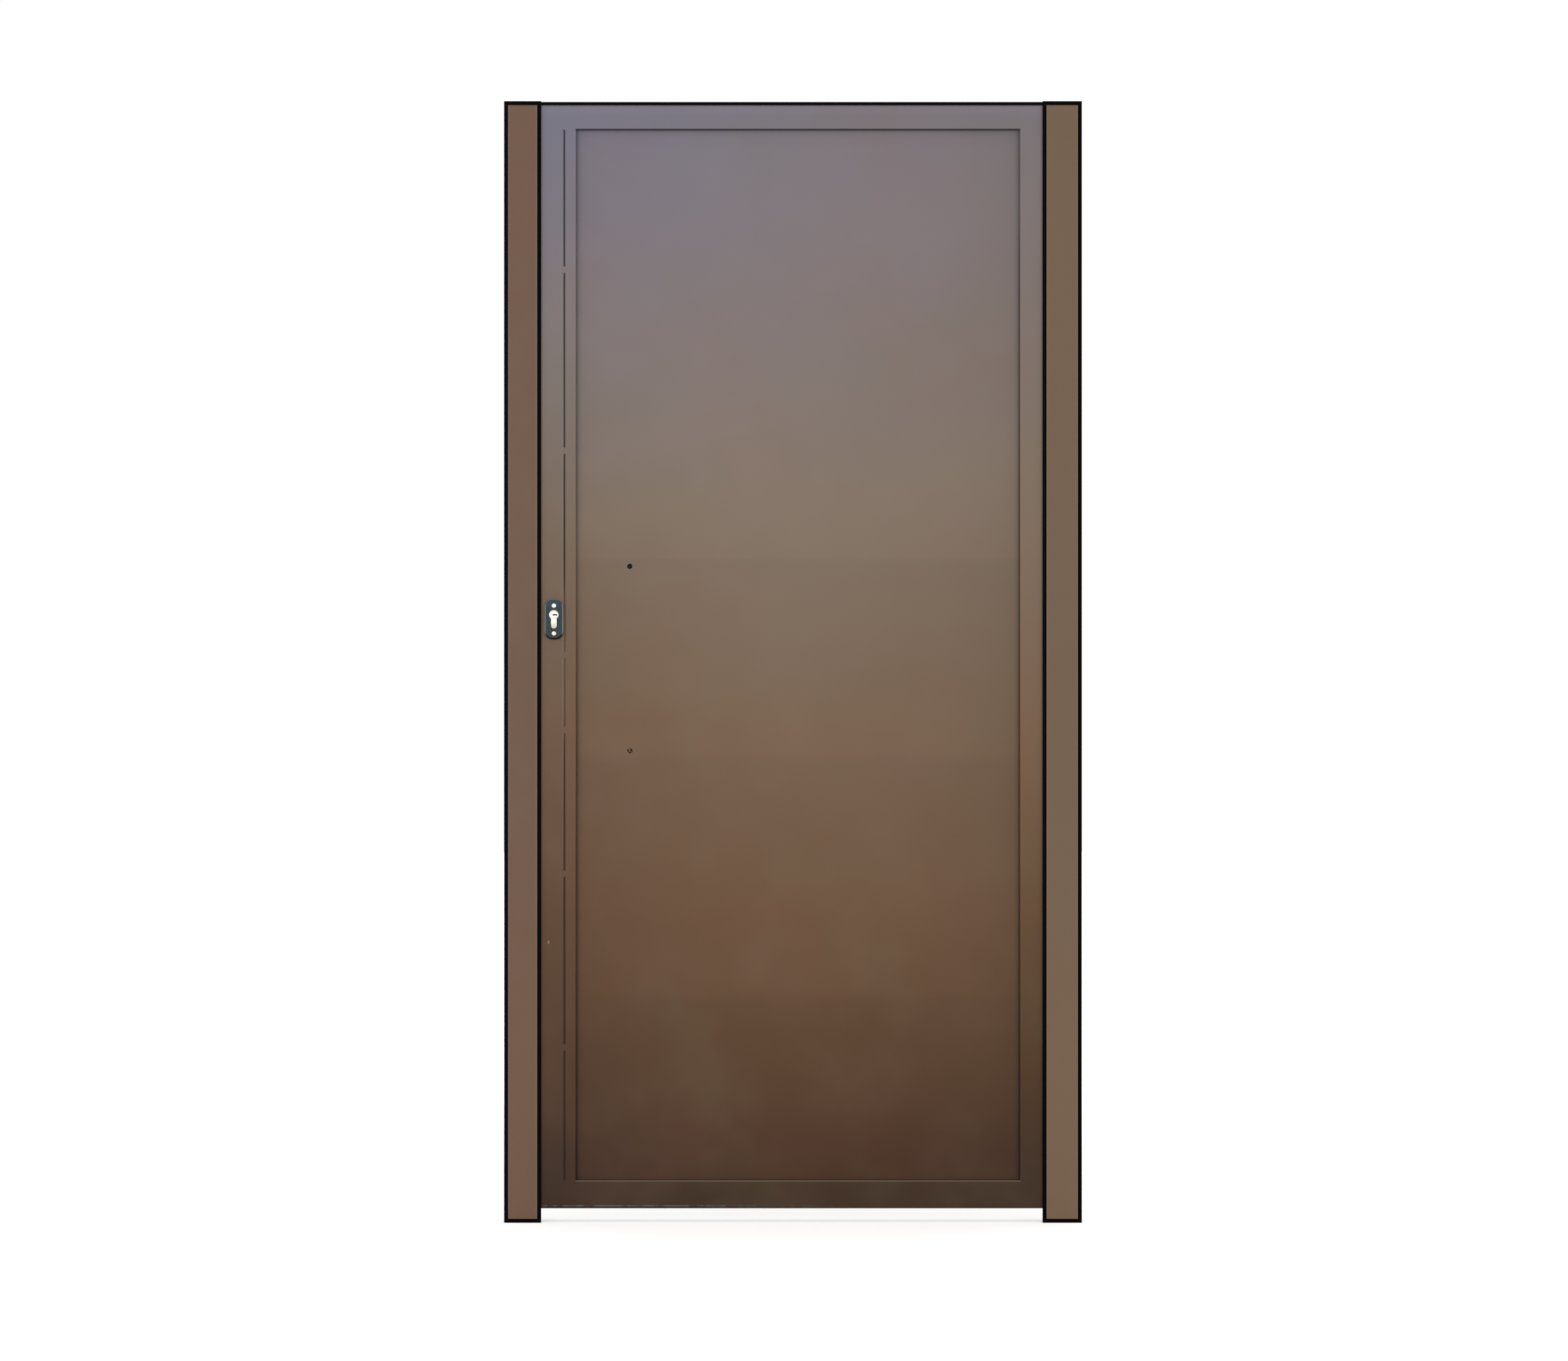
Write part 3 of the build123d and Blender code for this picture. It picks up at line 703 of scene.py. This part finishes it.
def finish_mesh(mesh, crease, flatten=False):
    """Merge what meets, face outwards, and shade smooth up to the crease angle in degrees.

    flatten also joins neighbours that lie in one plane.
    """
    work = bmesh.new()
    work.from_mesh(mesh)
    bmesh.ops.remove_doubles(work, verts=work.verts, dist=1e-6)
    bmesh.ops.dissolve_degenerate(work, edges=work.edges, dist=1e-7)
    if flatten:
        bmesh.ops.dissolve_limit(work, angle_limit=math.radians(0.3), verts=work.verts, edges=work.edges)
    bmesh.ops.recalc_face_normals(work, faces=work.faces)
    work.to_mesh(mesh)
    work.free()
    mesh.polygons.foreach_set("use_smooth", np.ones(len(mesh.polygons), bool))
    mesh.set_sharp_from_angle(angle=math.radians(crease))


def place(name, mesh, body, slot, finishes, replaces):
    """Make the mesh a piece of the object."""
    piece = bpy.data.objects.new(name, mesh)
    bpy.context.scene.collection.objects.link(piece)
    for finish in finishes:
        mesh.materials.append(finish)
    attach(piece, body)
    if replaces:
        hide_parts(*replaces)
    return piece


def eased(name, node, body, slot, finish, width):
    """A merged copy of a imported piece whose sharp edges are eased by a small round."""
    mesh = nodes[node].data.copy()
    mesh.name = name
    mesh.materials.clear()
    finish_mesh(mesh, 30, flatten=True)
    piece = place(name, mesh, body, slot, [finish], [node])
    ease = piece.modifiers.new("eased edges", "BEVEL")
    ease.width = width
    ease.segments = 3
    ease.limit_method = "ANGLE"
    ease.angle_limit = math.radians(28)
    ease.harden_normals = True


# The sheet


def bow(x, z):
    """How far the sheet stands back from flat, in metres.

    In each bay between two rails it is a shallow trough: a sine to the power of 1.5 up the bay times the
    square root of a sine across it. Slow cosine waves add the unevenness of thin sheet, and fade out at
    the edges.
    """
    low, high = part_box("panel_sheet")
    across = np.clip((x - low.x) / (high.x - low.x), 0, 1)
    held = np.sin(math.pi * across) ** 0.5
    edges = [low.z, *RAIL_HEIGHTS, high.z]
    trough = np.zeros_like(x)
    for k, (start, end) in enumerate(zip(edges[:-1], edges[1:])):
        first = start + (RAIL_PRINT if k > 0 else 0)
        last = end - (RAIL_PRINT if k < len(RAIL_HEIGHTS) else 0)
        share = np.clip((z - first) / (last - first), 0, 1)
        trough += np.sin(math.pi * share) ** 1.5
    fade = held * np.clip(np.sin(math.pi * np.clip((z - low.z) / (high.z - low.z), 0, 1)) * 8, 0, 1)
    waves = np.cos(9.1 * x + 3.3 * z + 0.6)
    waves += 0.7 * np.cos(14.7 * x - 6.1 * z + 2.1)
    waves += 0.5 * np.cos(21 * z + 4 * x)
    return 0.45 * MM * trough * held + 0.07 * MM * waves * fade


# The burr round a handle hole, from the flat inwards: radius and how far it lies behind the sheet, in mm
BURR = ((6.4, 0), (5.9, -0.05), (5.5, -0.22), (5.15, -0.26), (4.9, -0.12), (4.8, 0.1))


def door_sheet():
    """The sheet, front and back, with its two holes.

    The faces are flat grids pushed back by the bow. Round each hole a square of the grid is left out and
    filled by rings that pass from the square to the circle; a raised burr stands round the hole's edge.
    """
    low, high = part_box("panel_sheet")
    reach = 12 * MM
    step = 11.5 * MM
    window = np.linspace(-reach, reach, 9)
    near = HOLE_X + window
    xs = [np.linspace(low.x, near[0], 9), near, np.linspace(near[-1], high.x, 58)]
    zs = []
    last = low.z
    for z in HOLE_HEIGHTS:
        zs += [np.linspace(last, z - reach, max(3, int((z - reach - last) / step))), z + window]
        last = z + reach
    zs += [np.linspace(last, high.z, int((high.z - last) / step))]
    xs, zs = (np.unique(np.concatenate(places).round(9)) for places in (xs, zs))
    grid_x, grid_z = np.meshgrid(xs, zs)
    middle_x = (xs[:-1] + xs[1:]) / 2
    middle_z = ((zs[:-1] + zs[1:]) / 2)[:, None]
    hole = np.zeros((len(zs) - 1, len(xs) - 1), bool)
    for z in HOLE_HEIGHTS:
        hole |= (abs(middle_x - HOLE_X) < reach) & (abs(middle_z - z) < reach)
    sheet = Mesh()
    for y in (low.y + bow(grid_x, grid_z), np.full_like(grid_x, high.y)):
        sheet.add(np.stack([grid_x, y, grid_z], -1), round_=False, skip=hole)

    side = np.linspace(-1, 1, 9)[:-1]
    one = np.ones(8)
    square = reach * np.concatenate([
        np.stack([side, -one], -1), np.stack([one, side], -1),
        np.stack([-side, one], -1), np.stack([-one, -side], -1)])
    heading = square / np.linalg.norm(square, axis=1, keepdims=True)
    rings = [(square + (heading * BURR[0][0] * MM - square) * share, 0.0) for share in (0, 0.4, 0.75)]
    rings += [(heading * radius * MM, lift * MM) for radius, lift in BURR]
    rear = [heading * HOLE_RADIUS, heading * 5.4 * MM, heading * 6.4 * MM, square]
    for z in HOLE_HEIGHTS:
        filling = []
        for flat, lift in rings:
            x, height = HOLE_X + flat[:, 0], z + flat[:, 1]
            filling.append(np.stack([x, low.y + bow(x, height) + lift, height], -1))
        for flat in rear:
            filling.append(np.stack([HOLE_X + flat[:, 0], np.full(len(flat), high.y), z + flat[:, 1]], -1))
        sheet.add(np.stack(filling))
    rim_x = np.concatenate([xs, np.full(len(zs) - 1, xs[-1]), xs[-2::-1], np.full(len(zs) - 2, xs[0])])
    rim_z = np.concatenate([np.full(len(xs), zs[0]), zs[1:], np.full(len(xs) - 1, zs[-1]), zs[-2:0:-1]])
    rim_y = (low.y + bow(rim_x, rim_z), np.full_like(rim_x, high.y))
    sheet.add(np.stack([np.stack([rim_x, y, rim_z], -1) for y in rim_y]))
    sheet.build("door_sheet", "leaf", "leaf_paint", [SHEET], ["panel_sheet"])


# The lock's face

# The cylinder's outline: a round head, and below it a narrower tail with a round end
HEAD_RADIUS = 8.5 * MM
TAIL_RADIUS = 5 * MM
TAIL_DROP = 19.5 * MM

# A plug at each end of the cylinder, in the bore for it
PLUG_RADIUS = 6.6 * MM
PLUG_LENGTH = 27.8 * MM
BORE_RADIUS = PLUG_RADIUS + 0.12 * MM
BORE_DEPTH = 28 * MM


def cylinder_outline(shrink):
    """The key-shaped outline: directions from the head's middle, and the farthest reach in each.

    The reach is the larger of the head's radius and the way to the tail's round-ended slot. Directions
    are closer together across the tail.
    """
    head = HEAD_RADIUS - shrink
    tail = TAIL_RADIUS - shrink
    corner = math.asin(tail / head)
    down = -TURN / 4
    upper = np.linspace(down + corner, down + TURN - corner, 64, endpoint=False)
    lower = np.linspace(down - corner, down + corner, 32, endpoint=False)
    angle = np.concatenate([upper, lower])
    off = angle - down
    straight = np.abs(tail / np.maximum(np.abs(np.sin(off)), 1e-6))
    inside = np.maximum(tail**2 - (TAIL_DROP * np.sin(off)) ** 2, 0)
    end = TAIL_DROP * np.cos(off) + np.sqrt(inside)
    at_end = np.abs(np.sin(off)) * TAIL_DROP < tail
    at_wall = straight * np.cos(off) < TAIL_DROP
    slot = np.where(at_wall, straight, np.where(at_end, end, 0))
    reach = np.where(np.cos(off) > 0, np.maximum(head, slot), head)
    return angle, reach


def cylinder_case():
    """The cylinder's body: key-shaped with eased edges, and a plain bore for a plug at each end."""
    angle, _ = cylinder_outline(0)
    ease = 0.45 * MM

    def ring(reach, y):
        x = CYLINDER_X + reach * np.cos(angle)
        return np.stack([x, np.full_like(angle, y), CYLINDER_Z + reach * np.sin(angle)], -1)

    rows = []
    front, back = (c.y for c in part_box("cylinder_body"))
    for face, inward in ((front, 1), (back, -1)):
        bottom = face + inward * BORE_DEPTH
        end = [ring(0, bottom), ring(BORE_RADIUS, bottom),
               ring(BORE_RADIUS, face + inward * 0.3 * MM), ring(BORE_RADIUS + 0.3 * MM, face)]
        end += [ring(cylinder_outline(cut)[1], face + inward * deep)
                for cut, deep in ((ease, 0), (0.3 * ease, 0.3 * ease), (0, ease))]
        rows += end if inward > 0 else end[::-1]
    case = Mesh()
    case.add(np.stack(rows))
    case.build("cylinder_case", "leaf", "nickel", [NICKEL], ["cylinder_body"])


def key_plug(name, node, body, inward):
    """A plug with a keyway cut across it.

    The face is made of rings that pass from the keyway's outline to the plug's edge. The outline is a flat
    superellipse, thinner towards the left, whose middle line waves: so the slot is jogged as a profiled
    key's is.
    """
    front, back = (c.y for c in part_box(node))
    face = front if inward > 0 else back
    angle = np.linspace(0, TURN, 96, endpoint=False)
    run, rise = np.cos(angle), np.sin(angle)
    slot_x = 0.85 * MM + 5.05 * MM * np.sign(run) * np.abs(run) ** 0.55
    middle = 0.20 * MM * np.sin(slot_x / (0.95 * MM))
    half = 1.35 * MM + 0.16 * MM * np.cos(slot_x / (0.7 * MM))
    half = half * (1 - 0.6 * np.clip(-slot_x / (4.2 * MM), 0, 1))
    slot_z = middle + half * np.sign(rise) * np.abs(rise) ** 0.55
    slot = np.stack([slot_x, slot_z], -1)
    lip = slot * np.array([1.02, 1.2])
    circle = np.stack([run, rise], -1)
    edge = PLUG_RADIUS - 0.06 * MM
    rim = circle * (edge - 0.45 * MM)

    def ring(flat, deep):
        depth = np.full(len(flat), face + inward * deep)
        return np.stack([CYLINDER_X + flat[:, 0], depth, CYLINDER_Z + flat[:, 1]], -1)

    dark = [ring(slot * 0, 7 * MM), ring(slot, 7 * MM), ring(slot, 0.25 * MM)]
    bright = [ring(slot, 0.25 * MM), ring(lip, 0)]
    bright += [ring(lip * (1 - share) + rim * share, 0) for share in (0.3, 0.6, 1)]
    bright += [ring(circle * (edge - 0.14 * MM), 0.12 * MM), ring(circle * edge, 0.45 * MM)]
    bright += [ring(circle * edge, PLUG_LENGTH), ring(circle * 0, PLUG_LENGTH)]
    plug = Mesh()
    plug.add(np.stack(dark), kind=1)
    plug.add(np.stack(bright))
    plug.build(name, body, "nickel", [PLUG_NICKEL, KEYWAY], [node])


def escutcheon_screws():
    """Two countersunk screws with a slightly domed head and a six-sided socket in it.

    The head is turned; the socket's outline is the reach of a hexagon in each direction, and rings pass
    from it to the head's round edge.
    """
    low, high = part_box("escutcheon_screws")
    head, shank = 4.0 * MM, 2.4 * MM
    length = high.y - low.y
    angle = np.linspace(0, TURN, 48, endpoint=False)
    circle = np.stack([np.cos(angle), np.sin(angle)], -1)
    hexagon = 1.0 * MM / np.cos((angle % (TURN / 6)) - TURN / 12)
    screws = Mesh()
    for z in (low.z + head, high.z - head):
        def ring(reach, deep):
            flat = circle * (reach if np.ndim(reach) == 0 else reach[:, None])
            return np.stack([CYLINDER_X + flat[:, 0], np.full(48, low.y + deep), z + flat[:, 1]], -1)
        screws.add(np.stack([ring(0, 0.28 * MM), ring(hexagon, 0.24 * MM), ring(hexagon, -0.32 * MM)]))
        screws.add(np.stack([
            ring(hexagon, -0.32 * MM), ring(hexagon + 0.15 * MM, -0.42 * MM), ring(2.2 * MM, -0.36 * MM),
            ring(3.2 * MM, -0.2 * MM), ring(3.8 * MM, -0.02 * MM), ring(head, 0.15 * MM),
            ring(shank, 1.7 * MM), ring(shank, length), ring(0, length)]))
    screws.build("plate_screws", "leaf", "bright_steel", [SCREW_NICKEL], ["escutcheon_screws"])


def flat_screws(name, body, node, out, inset, radius):
    """Two countersunk screw heads with a crossed recess, let into an upright plate that faces along X.

    out is 1 or -1, the way the plate faces. The recess's outline is a four-leaved curve: its reach is a
    constant plus the cube of the absolute cosine of twice the angle.
    """
    low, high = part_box(node)
    x, y = (high.x if out > 0 else low.x), (low.y + high.y) / 2
    angle = np.linspace(0, TURN, 64, endpoint=False)
    cross = radius * (0.30 + 0.26 * np.abs(np.cos(2 * angle)) ** 3)
    heads = Mesh()
    for z in (low.z + inset, high.z - inset):
        def ring(reach, deep):
            depth = np.full_like(angle, x - out * deep)
            return np.stack([depth, y - out * reach * np.cos(angle), z + reach * np.sin(angle)], -1)
        recess = [ring(0, 1.1 * MM), ring(cross * 0.6, 1.0 * MM), ring(cross, -0.02 * MM)]
        heads.add(np.stack(recess), kind=1)
        heads.add(np.stack([
            ring(cross, -0.02 * MM), ring(0.75 * radius, -0.10 * MM), ring(0.96 * radius, -0.02 * MM),
            ring(radius, 0.08 * MM), ring(0.5 * radius, 1.9 * MM), ring(0, 1.9 * MM)]))
    heads.build(name, body, "bright_steel", [ZINC, KEYWAY])


def torn_screw():
    """The screw left in the lower handle hole, snapped off short and painted over.

    A turned stub. Its end lies a little behind the sheet's front, and gaps are torn into it by four bell
    curves of the angle, each times a smooth rise of the radius. A ripple of two cosines roughens the end.
    """
    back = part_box("leftover_screw")[1].y
    middle = np.array([HOLE_X, SHEET_FRONT, HOLE_HEIGHTS[0]])
    angle = np.linspace(0, TURN, 72, endpoint=False)
    radius = np.array([0, 0.5, 1.0, 1.5, 2.0, 2.4, 2.8, 3.2, 3.6, 4.1, 4.65])[:, None]
    deep = 0.7 + 0.10 * np.cos(5 * angle + 2 * radius)
    deep = deep + 0.08 * np.cos(9 * angle - 3 * radius) * (radius > 0)
    for heading, spread, start in ((-90, 44, 2.0), (172, 27, 1.3), (48, 20, 0.9), (8, 20, 2.0)):
        off = (angle - math.radians(heading) + math.pi) % TURN - math.pi
        bell = np.exp(-((off / math.radians(spread)) ** 2))
        deep = deep + 3.0 * bell * smooth(radius, start, start + 1)
    reach = radius + 0 * angle
    end = (back - SHEET_FRONT) / MM
    for edge, depth in ((4.65, 1.9), (3.9, 2.2), (3.9, end), (0, end)):
        reach = np.concatenate([reach, np.full((1, 72), edge)])
        deep = np.concatenate([deep, np.full((1, 72), depth)])
    stub = Mesh()
    stub.add(np.stack([reach * np.cos(angle), deep, reach * np.sin(angle)], -1) * MM + middle)
    stub.build("torn_screw", "leaf", "bright_steel", [TORN], ["leftover_screw"], crease=60)


# The seam

# The rounding of the stiles' edges, and the depth that the paint leaves between them
TUBE_ROUND = 2.5 * MM
SEAM_DEPTH = 0.9 * MM


def groove(way):
    """How deep the round edge of a tube lies at a way in from its side.

    It is R less the root of R squared less the square of what is left to the flat.
    """
    left = np.clip(TUBE_ROUND - way, 0, TUBE_ROUND)
    return TUBE_ROUND - np.sqrt(TUBE_ROUND**2 - left**2)


def seam_filling():
    """The seam beside the lock stile, half filled with paint, and the welds that are ground flush in it.

    The groove's depth g is rounded off to D tanh(g / D), with D the depth that the paint leaves. Over a
    weld it is times one less a fill, which rises smoothly from 0 at the weld's ends to 1 in its middle.
    At each end of the inner stile the patch is level, lets the seam in over 2 mm, and takes the lesser of
    the stile's and the rail's round edges at the recess's corner.
    """
    front = LEAF_FRONT - 0.02 * MM
    (seam, _, foot), (edge, _, head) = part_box("leaf_inner_stile")
    near = seam + np.linspace(-2.7, 2.7, 25) * MM
    reach = 4.2 * MM
    filling = Mesh()

    def painted(x):
        return SEAM_DEPTH * np.tanh(groove(abs(x - seam)) / SEAM_DEPTH)

    stops = [foot + reach]
    for weld in SEAM_WELDS:
        around = weld + np.linspace(-6.8, 6.8, 41) * MM
        stops += [np.linspace(stops[-1], weld - 6.8 * MM, 12)[1:-1], around, weld + 6.8 * MM]
    stops += [np.linspace(stops[-1], head - reach, 12)]
    x, z = np.meshgrid(near, np.unique(np.hstack(stops).round(7)))
    way = np.min([abs(z - weld) for weld in SEAM_WELDS], axis=0)
    fill = smooth(6.4 * MM - way, 0, 1.8 * MM)
    filling.patch(x, front + painted(x) * (1 - fill), z)
    flat = np.linspace(seam + 3.2 * MM, edge - 2.8 * MM, 20)
    across = np.hstack([near, flat, edge - np.linspace(2.5, 0, 16) * MM])
    for end, side in ((head, 1), (foot, -1)):
        x, z = np.meshgrid(across, end + side * np.linspace(-4.2, 2.7, 36) * MM)
        out = side * (z - end)
        depth = painted(x) * (1 - smooth(out, -3.0 * MM, -1.0 * MM))
        corner = groove(edge - x)
        corner = np.where(out > 0, np.minimum(corner, groove(out)), corner)
        filling.patch(x, front + np.maximum(depth, corner), z)
    filling.build("seam_filling", "leaf", "leaf_paint", [LEAF], ["ground_welds"], crease=40)


# Welds behind the leaf


def bead(start, end, radius):
    """A weld bead along a line: a round ridge whose radius ripples once for each drop laid down.

    The reach is radius times (0.86 + 0.14 times the absolute sine of the way along), where the way lags
    with the angle so that each ripple bows, and it swells from nothing at both ends as a quarter circle.
    """
    drop = 2.3 * MM
    start, end = np.array(start, float), np.array(end, float)
    length = np.linalg.norm(end - start)
    along = (end - start) / length
    side = np.cross(along, (0.3, 0.5, 0.8))
    side /= np.linalg.norm(side)
    up = np.cross(along, side)
    count = max(8, int(length / drop * 4))
    way = np.linspace(0, length, count)[:, None]
    angle = np.linspace(0, TURN, 10, endpoint=False)[None]
    ripple = 0.86 + 0.14 * np.abs(np.sin(math.pi * (way / drop + 0.15 * np.cos(angle))))
    near = np.clip(np.minimum(way, length - way) / (1.4 * radius), 0, 1)
    swell = np.sqrt(1 - (1 - near) ** 2)
    reach = (radius * ripple * swell)[..., None]
    spread = np.cos(angle)[..., None] * side + np.sin(angle)[..., None] * up
    return start + way[..., None] * along + reach * spread


def stitches(start, end, count, length):
    """The ends of evenly spread stitches along a line."""
    start, end = np.array(start, float), np.array(end, float)
    full = np.linalg.norm(end - start)
    along = (end - start) / full
    for middle in (np.arange(count) + 0.5) / count * full:
        yield start + along * (middle - length / 2), start + along * (middle + length / 2)


def frame_welds():
    """Stitches that hold the angles, the rails and the handle blocks, seen from behind.

    A rail's end has one down its back, and one each along its top and its foot.
    """
    low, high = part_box("panel_sheet")
    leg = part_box("panel_angle_lock_side")[1].y
    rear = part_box("cross_rail_1")[1].y
    free, stitch = 30 * MM, 28 * MM
    edges = [low.z, *RAIL_HEIGHTS, high.z]
    welds = Mesh()
    for x in (low.x, high.x):
        for start, end in zip(edges[:-1], edges[1:]):
            for ends in stitches((x, leg, start + free), (x, leg, end - free), 2, stitch):
                welds.add(bead(*ends, 1.7 * MM))
        for z in RAIL_HEIGHTS:
            y, half = rear - 0.4 * MM, 16.5 * MM
            welds.add(bead((x, y, z - half), (x, y, z + half), 2.2 * MM))
            for edge in (z - 20 * MM, z + 20 * MM):
                welds.add(bead((x, leg + 1.5 * MM, edge), (x, rear - 1 * MM, edge), 1.6 * MM))
    for z in (low.z, high.z):
        for ends in stitches((low.x + free, leg, z), (high.x - free, leg, z), 5, stitch):
            welds.add(bead(*ends, 1.7 * MM))
    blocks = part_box("handle_anchors")
    for z in HOLE_HEIGHTS:
        for x in (blocks[0].x, blocks[1].x):
            welds.add(bead((x, high.y, z - 6 * MM), (x, high.y, z + 6 * MM), 1.5 * MM))
    welds.build("frame_welds", "leaf", "leaf_paint", [WELD_LEAF], crease=180)


def hinge_welds(name, body, slot, finish, side):
    """Beads round the flaps of the hinge halves on one body; side is 1 on the post and -1 on the leaf.

    One runs up the flap's free edge, and one along its foot and one along its head.
    """
    kind, tube = ("post_half", "hinge_post_tube") if side > 0 else ("leaf_half", "leaf_hinge_stile")
    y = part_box(tube)[1].y + 0.8 * MM
    axis, knuckle = -30 * MM, 14 * MM
    near = axis + side * knuckle
    cut, radius = 5 * MM, 2.0 * MM
    welds = Mesh()
    for label in ("bottom", "middle", "top"):
        low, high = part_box(f"hinge_{label}_{kind}")
        far = high.x if side > 0 else low.x
        foot, head = low.z, low.z + 45 * MM
        welds.add(bead((far, y, foot + cut), (far, y, head - cut), radius))
        for z in (foot, head):
            welds.add(bead((near, y, z), (far - side * cut, y, z), radius))
    welds.build(name, body, slot, [finish], crease=180)


door_sheet()
seam_filling()
cylinder_case()
key_plug("front_plug", "key_plug_front", "key_plug", 1)
key_plug("rear_plug", "key_plug_back", "leaf", -1)
escutcheon_screws()
torn_screw()
frame_welds()
hinge_welds("post_hinge_welds", "frame", "post_paint", WELD_POST, 1)
hinge_welds("leaf_hinge_welds", "leaf", "leaf_paint", WELD_LEAF, -1)
eased("front_escutcheon", "escutcheon_front", "leaf", "slate_plate", SLATE, 0.5 * MM)
eased("rear_escutcheon", "escutcheon_back", "leaf", "slate_plate", SLATE, 0.5 * MM)
flat_screws("forend_screws", "leaf", "lock_forend", -1, 8 * MM, 4 * MM)
flat_screws("strike_screws", "frame", "strike_plate", 1, 12 * MM, 3.6 * MM)


# Stage, light and camera


# The middle between the posts
MIDDLE_X = -0.49


def floor():
    """A pale floor, white to the camera where it is lit, that keeps the object's shadow."""
    pale, white = (0.86, 0.86, 0.86, 1), (1, 1, 1, 1)
    ground = Finish("pale_floor", Roughness=0.9, Base_Color=pale, Emission_Color=white)
    seen = ground.node("LightPath", {}, {}, "Is Camera Ray")
    away = (ground.x - MIDDLE_X) ** 2 + ground.y**2
    ground.set(Emission_Strength=seen * (0.52 + away.rise(1.0, 7.0) * 0.7))
    mesh = bpy.data.meshes.new("floor")
    mesh.from_pydata([(-14, -9, 0), (13, -9, 0), (13, 16, 0), (-14, 16, 0)], [], [(0, 1, 2, 3)])
    mesh.materials.append(ground.material)
    plane = bpy.data.objects.new("floor", mesh)
    bpy.context.scene.collection.objects.link(plane)


def sky():
    """Even pale light all round, white to the camera and in reflections."""
    world = bpy.data.worlds.new("studio")
    bpy.context.scene.world = world
    world.use_nodes = True
    tree = world.node_tree
    backdrop = tree.nodes["Background"]
    backdrop.inputs["Color"].default_value = (1, 1, 1, 1)
    rays = tree.nodes.new("ShaderNodeLightPath")
    shown = tree.nodes.new("ShaderNodeMath")
    shown.operation = "MAXIMUM"
    tree.links.new(rays.outputs["Is Camera Ray"], shown.inputs[0])
    tree.links.new(rays.outputs["Is Glossy Ray"], shown.inputs[1])
    level = tree.nodes.new("ShaderNodeMapRange")
    level.inputs["To Min"].default_value = 0.74
    level.inputs["To Max"].default_value = 1.0
    tree.links.new(shown.outputs[0], level.inputs["Value"])
    tree.links.new(level.outputs[0], backdrop.inputs["Strength"])


def softbox(name, at, towards, size, power):
    """A large soft lamp; size is its width and height in metres, and power is in watts."""
    lamp = bpy.data.lights.new(name, "AREA")
    lamp.shape = "RECTANGLE"
    lamp.size, lamp.size_y = size
    lamp.energy = power
    holder = bpy.data.objects.new(name, lamp)
    bpy.context.scene.collection.objects.link(holder)
    holder.location = at
    aim = np.array(towards, float) - np.array(at, float)
    holder.rotation_mode = "QUATERNION"
    holder.rotation_quaternion = Vector(aim).to_track_quat("-Z", "Y")


# The camera looks level along Y, and takes in VIEW_WIDTH at the posts' front
CAMERA_X = -0.506
CAMERA_Z = 0.967
FACE_Y = -0.029
DISTANCE = 7.4
VIEW_WIDTH = 2.795
SENSOR_WIDTH = 36.0

floor()
sky()
softbox("key_light", (-2.2, -7.0, 1.4), (-0.5, 0, 0.6), (3.4, 2.4), 100)
softbox("fill_light", (3.2, -7.0, 1.2), (-0.5, 0, 0.6), (3.4, 2.4), 62)

lens = bpy.data.cameras.new("camera")
lens.sensor_width = SENSOR_WIDTH
lens.lens = SENSOR_WIDTH * DISTANCE / VIEW_WIDTH
camera = bpy.data.objects.new("camera", lens)
bpy.context.scene.collection.objects.link(camera)
camera.location = (CAMERA_X, FACE_Y - DISTANCE, CAMERA_Z)
camera.rotation_euler = (math.pi / 2, 0, 0)
bpy.context.scene.camera = camera
bpy.context.scene.view_settings.view_transform = "Standard"
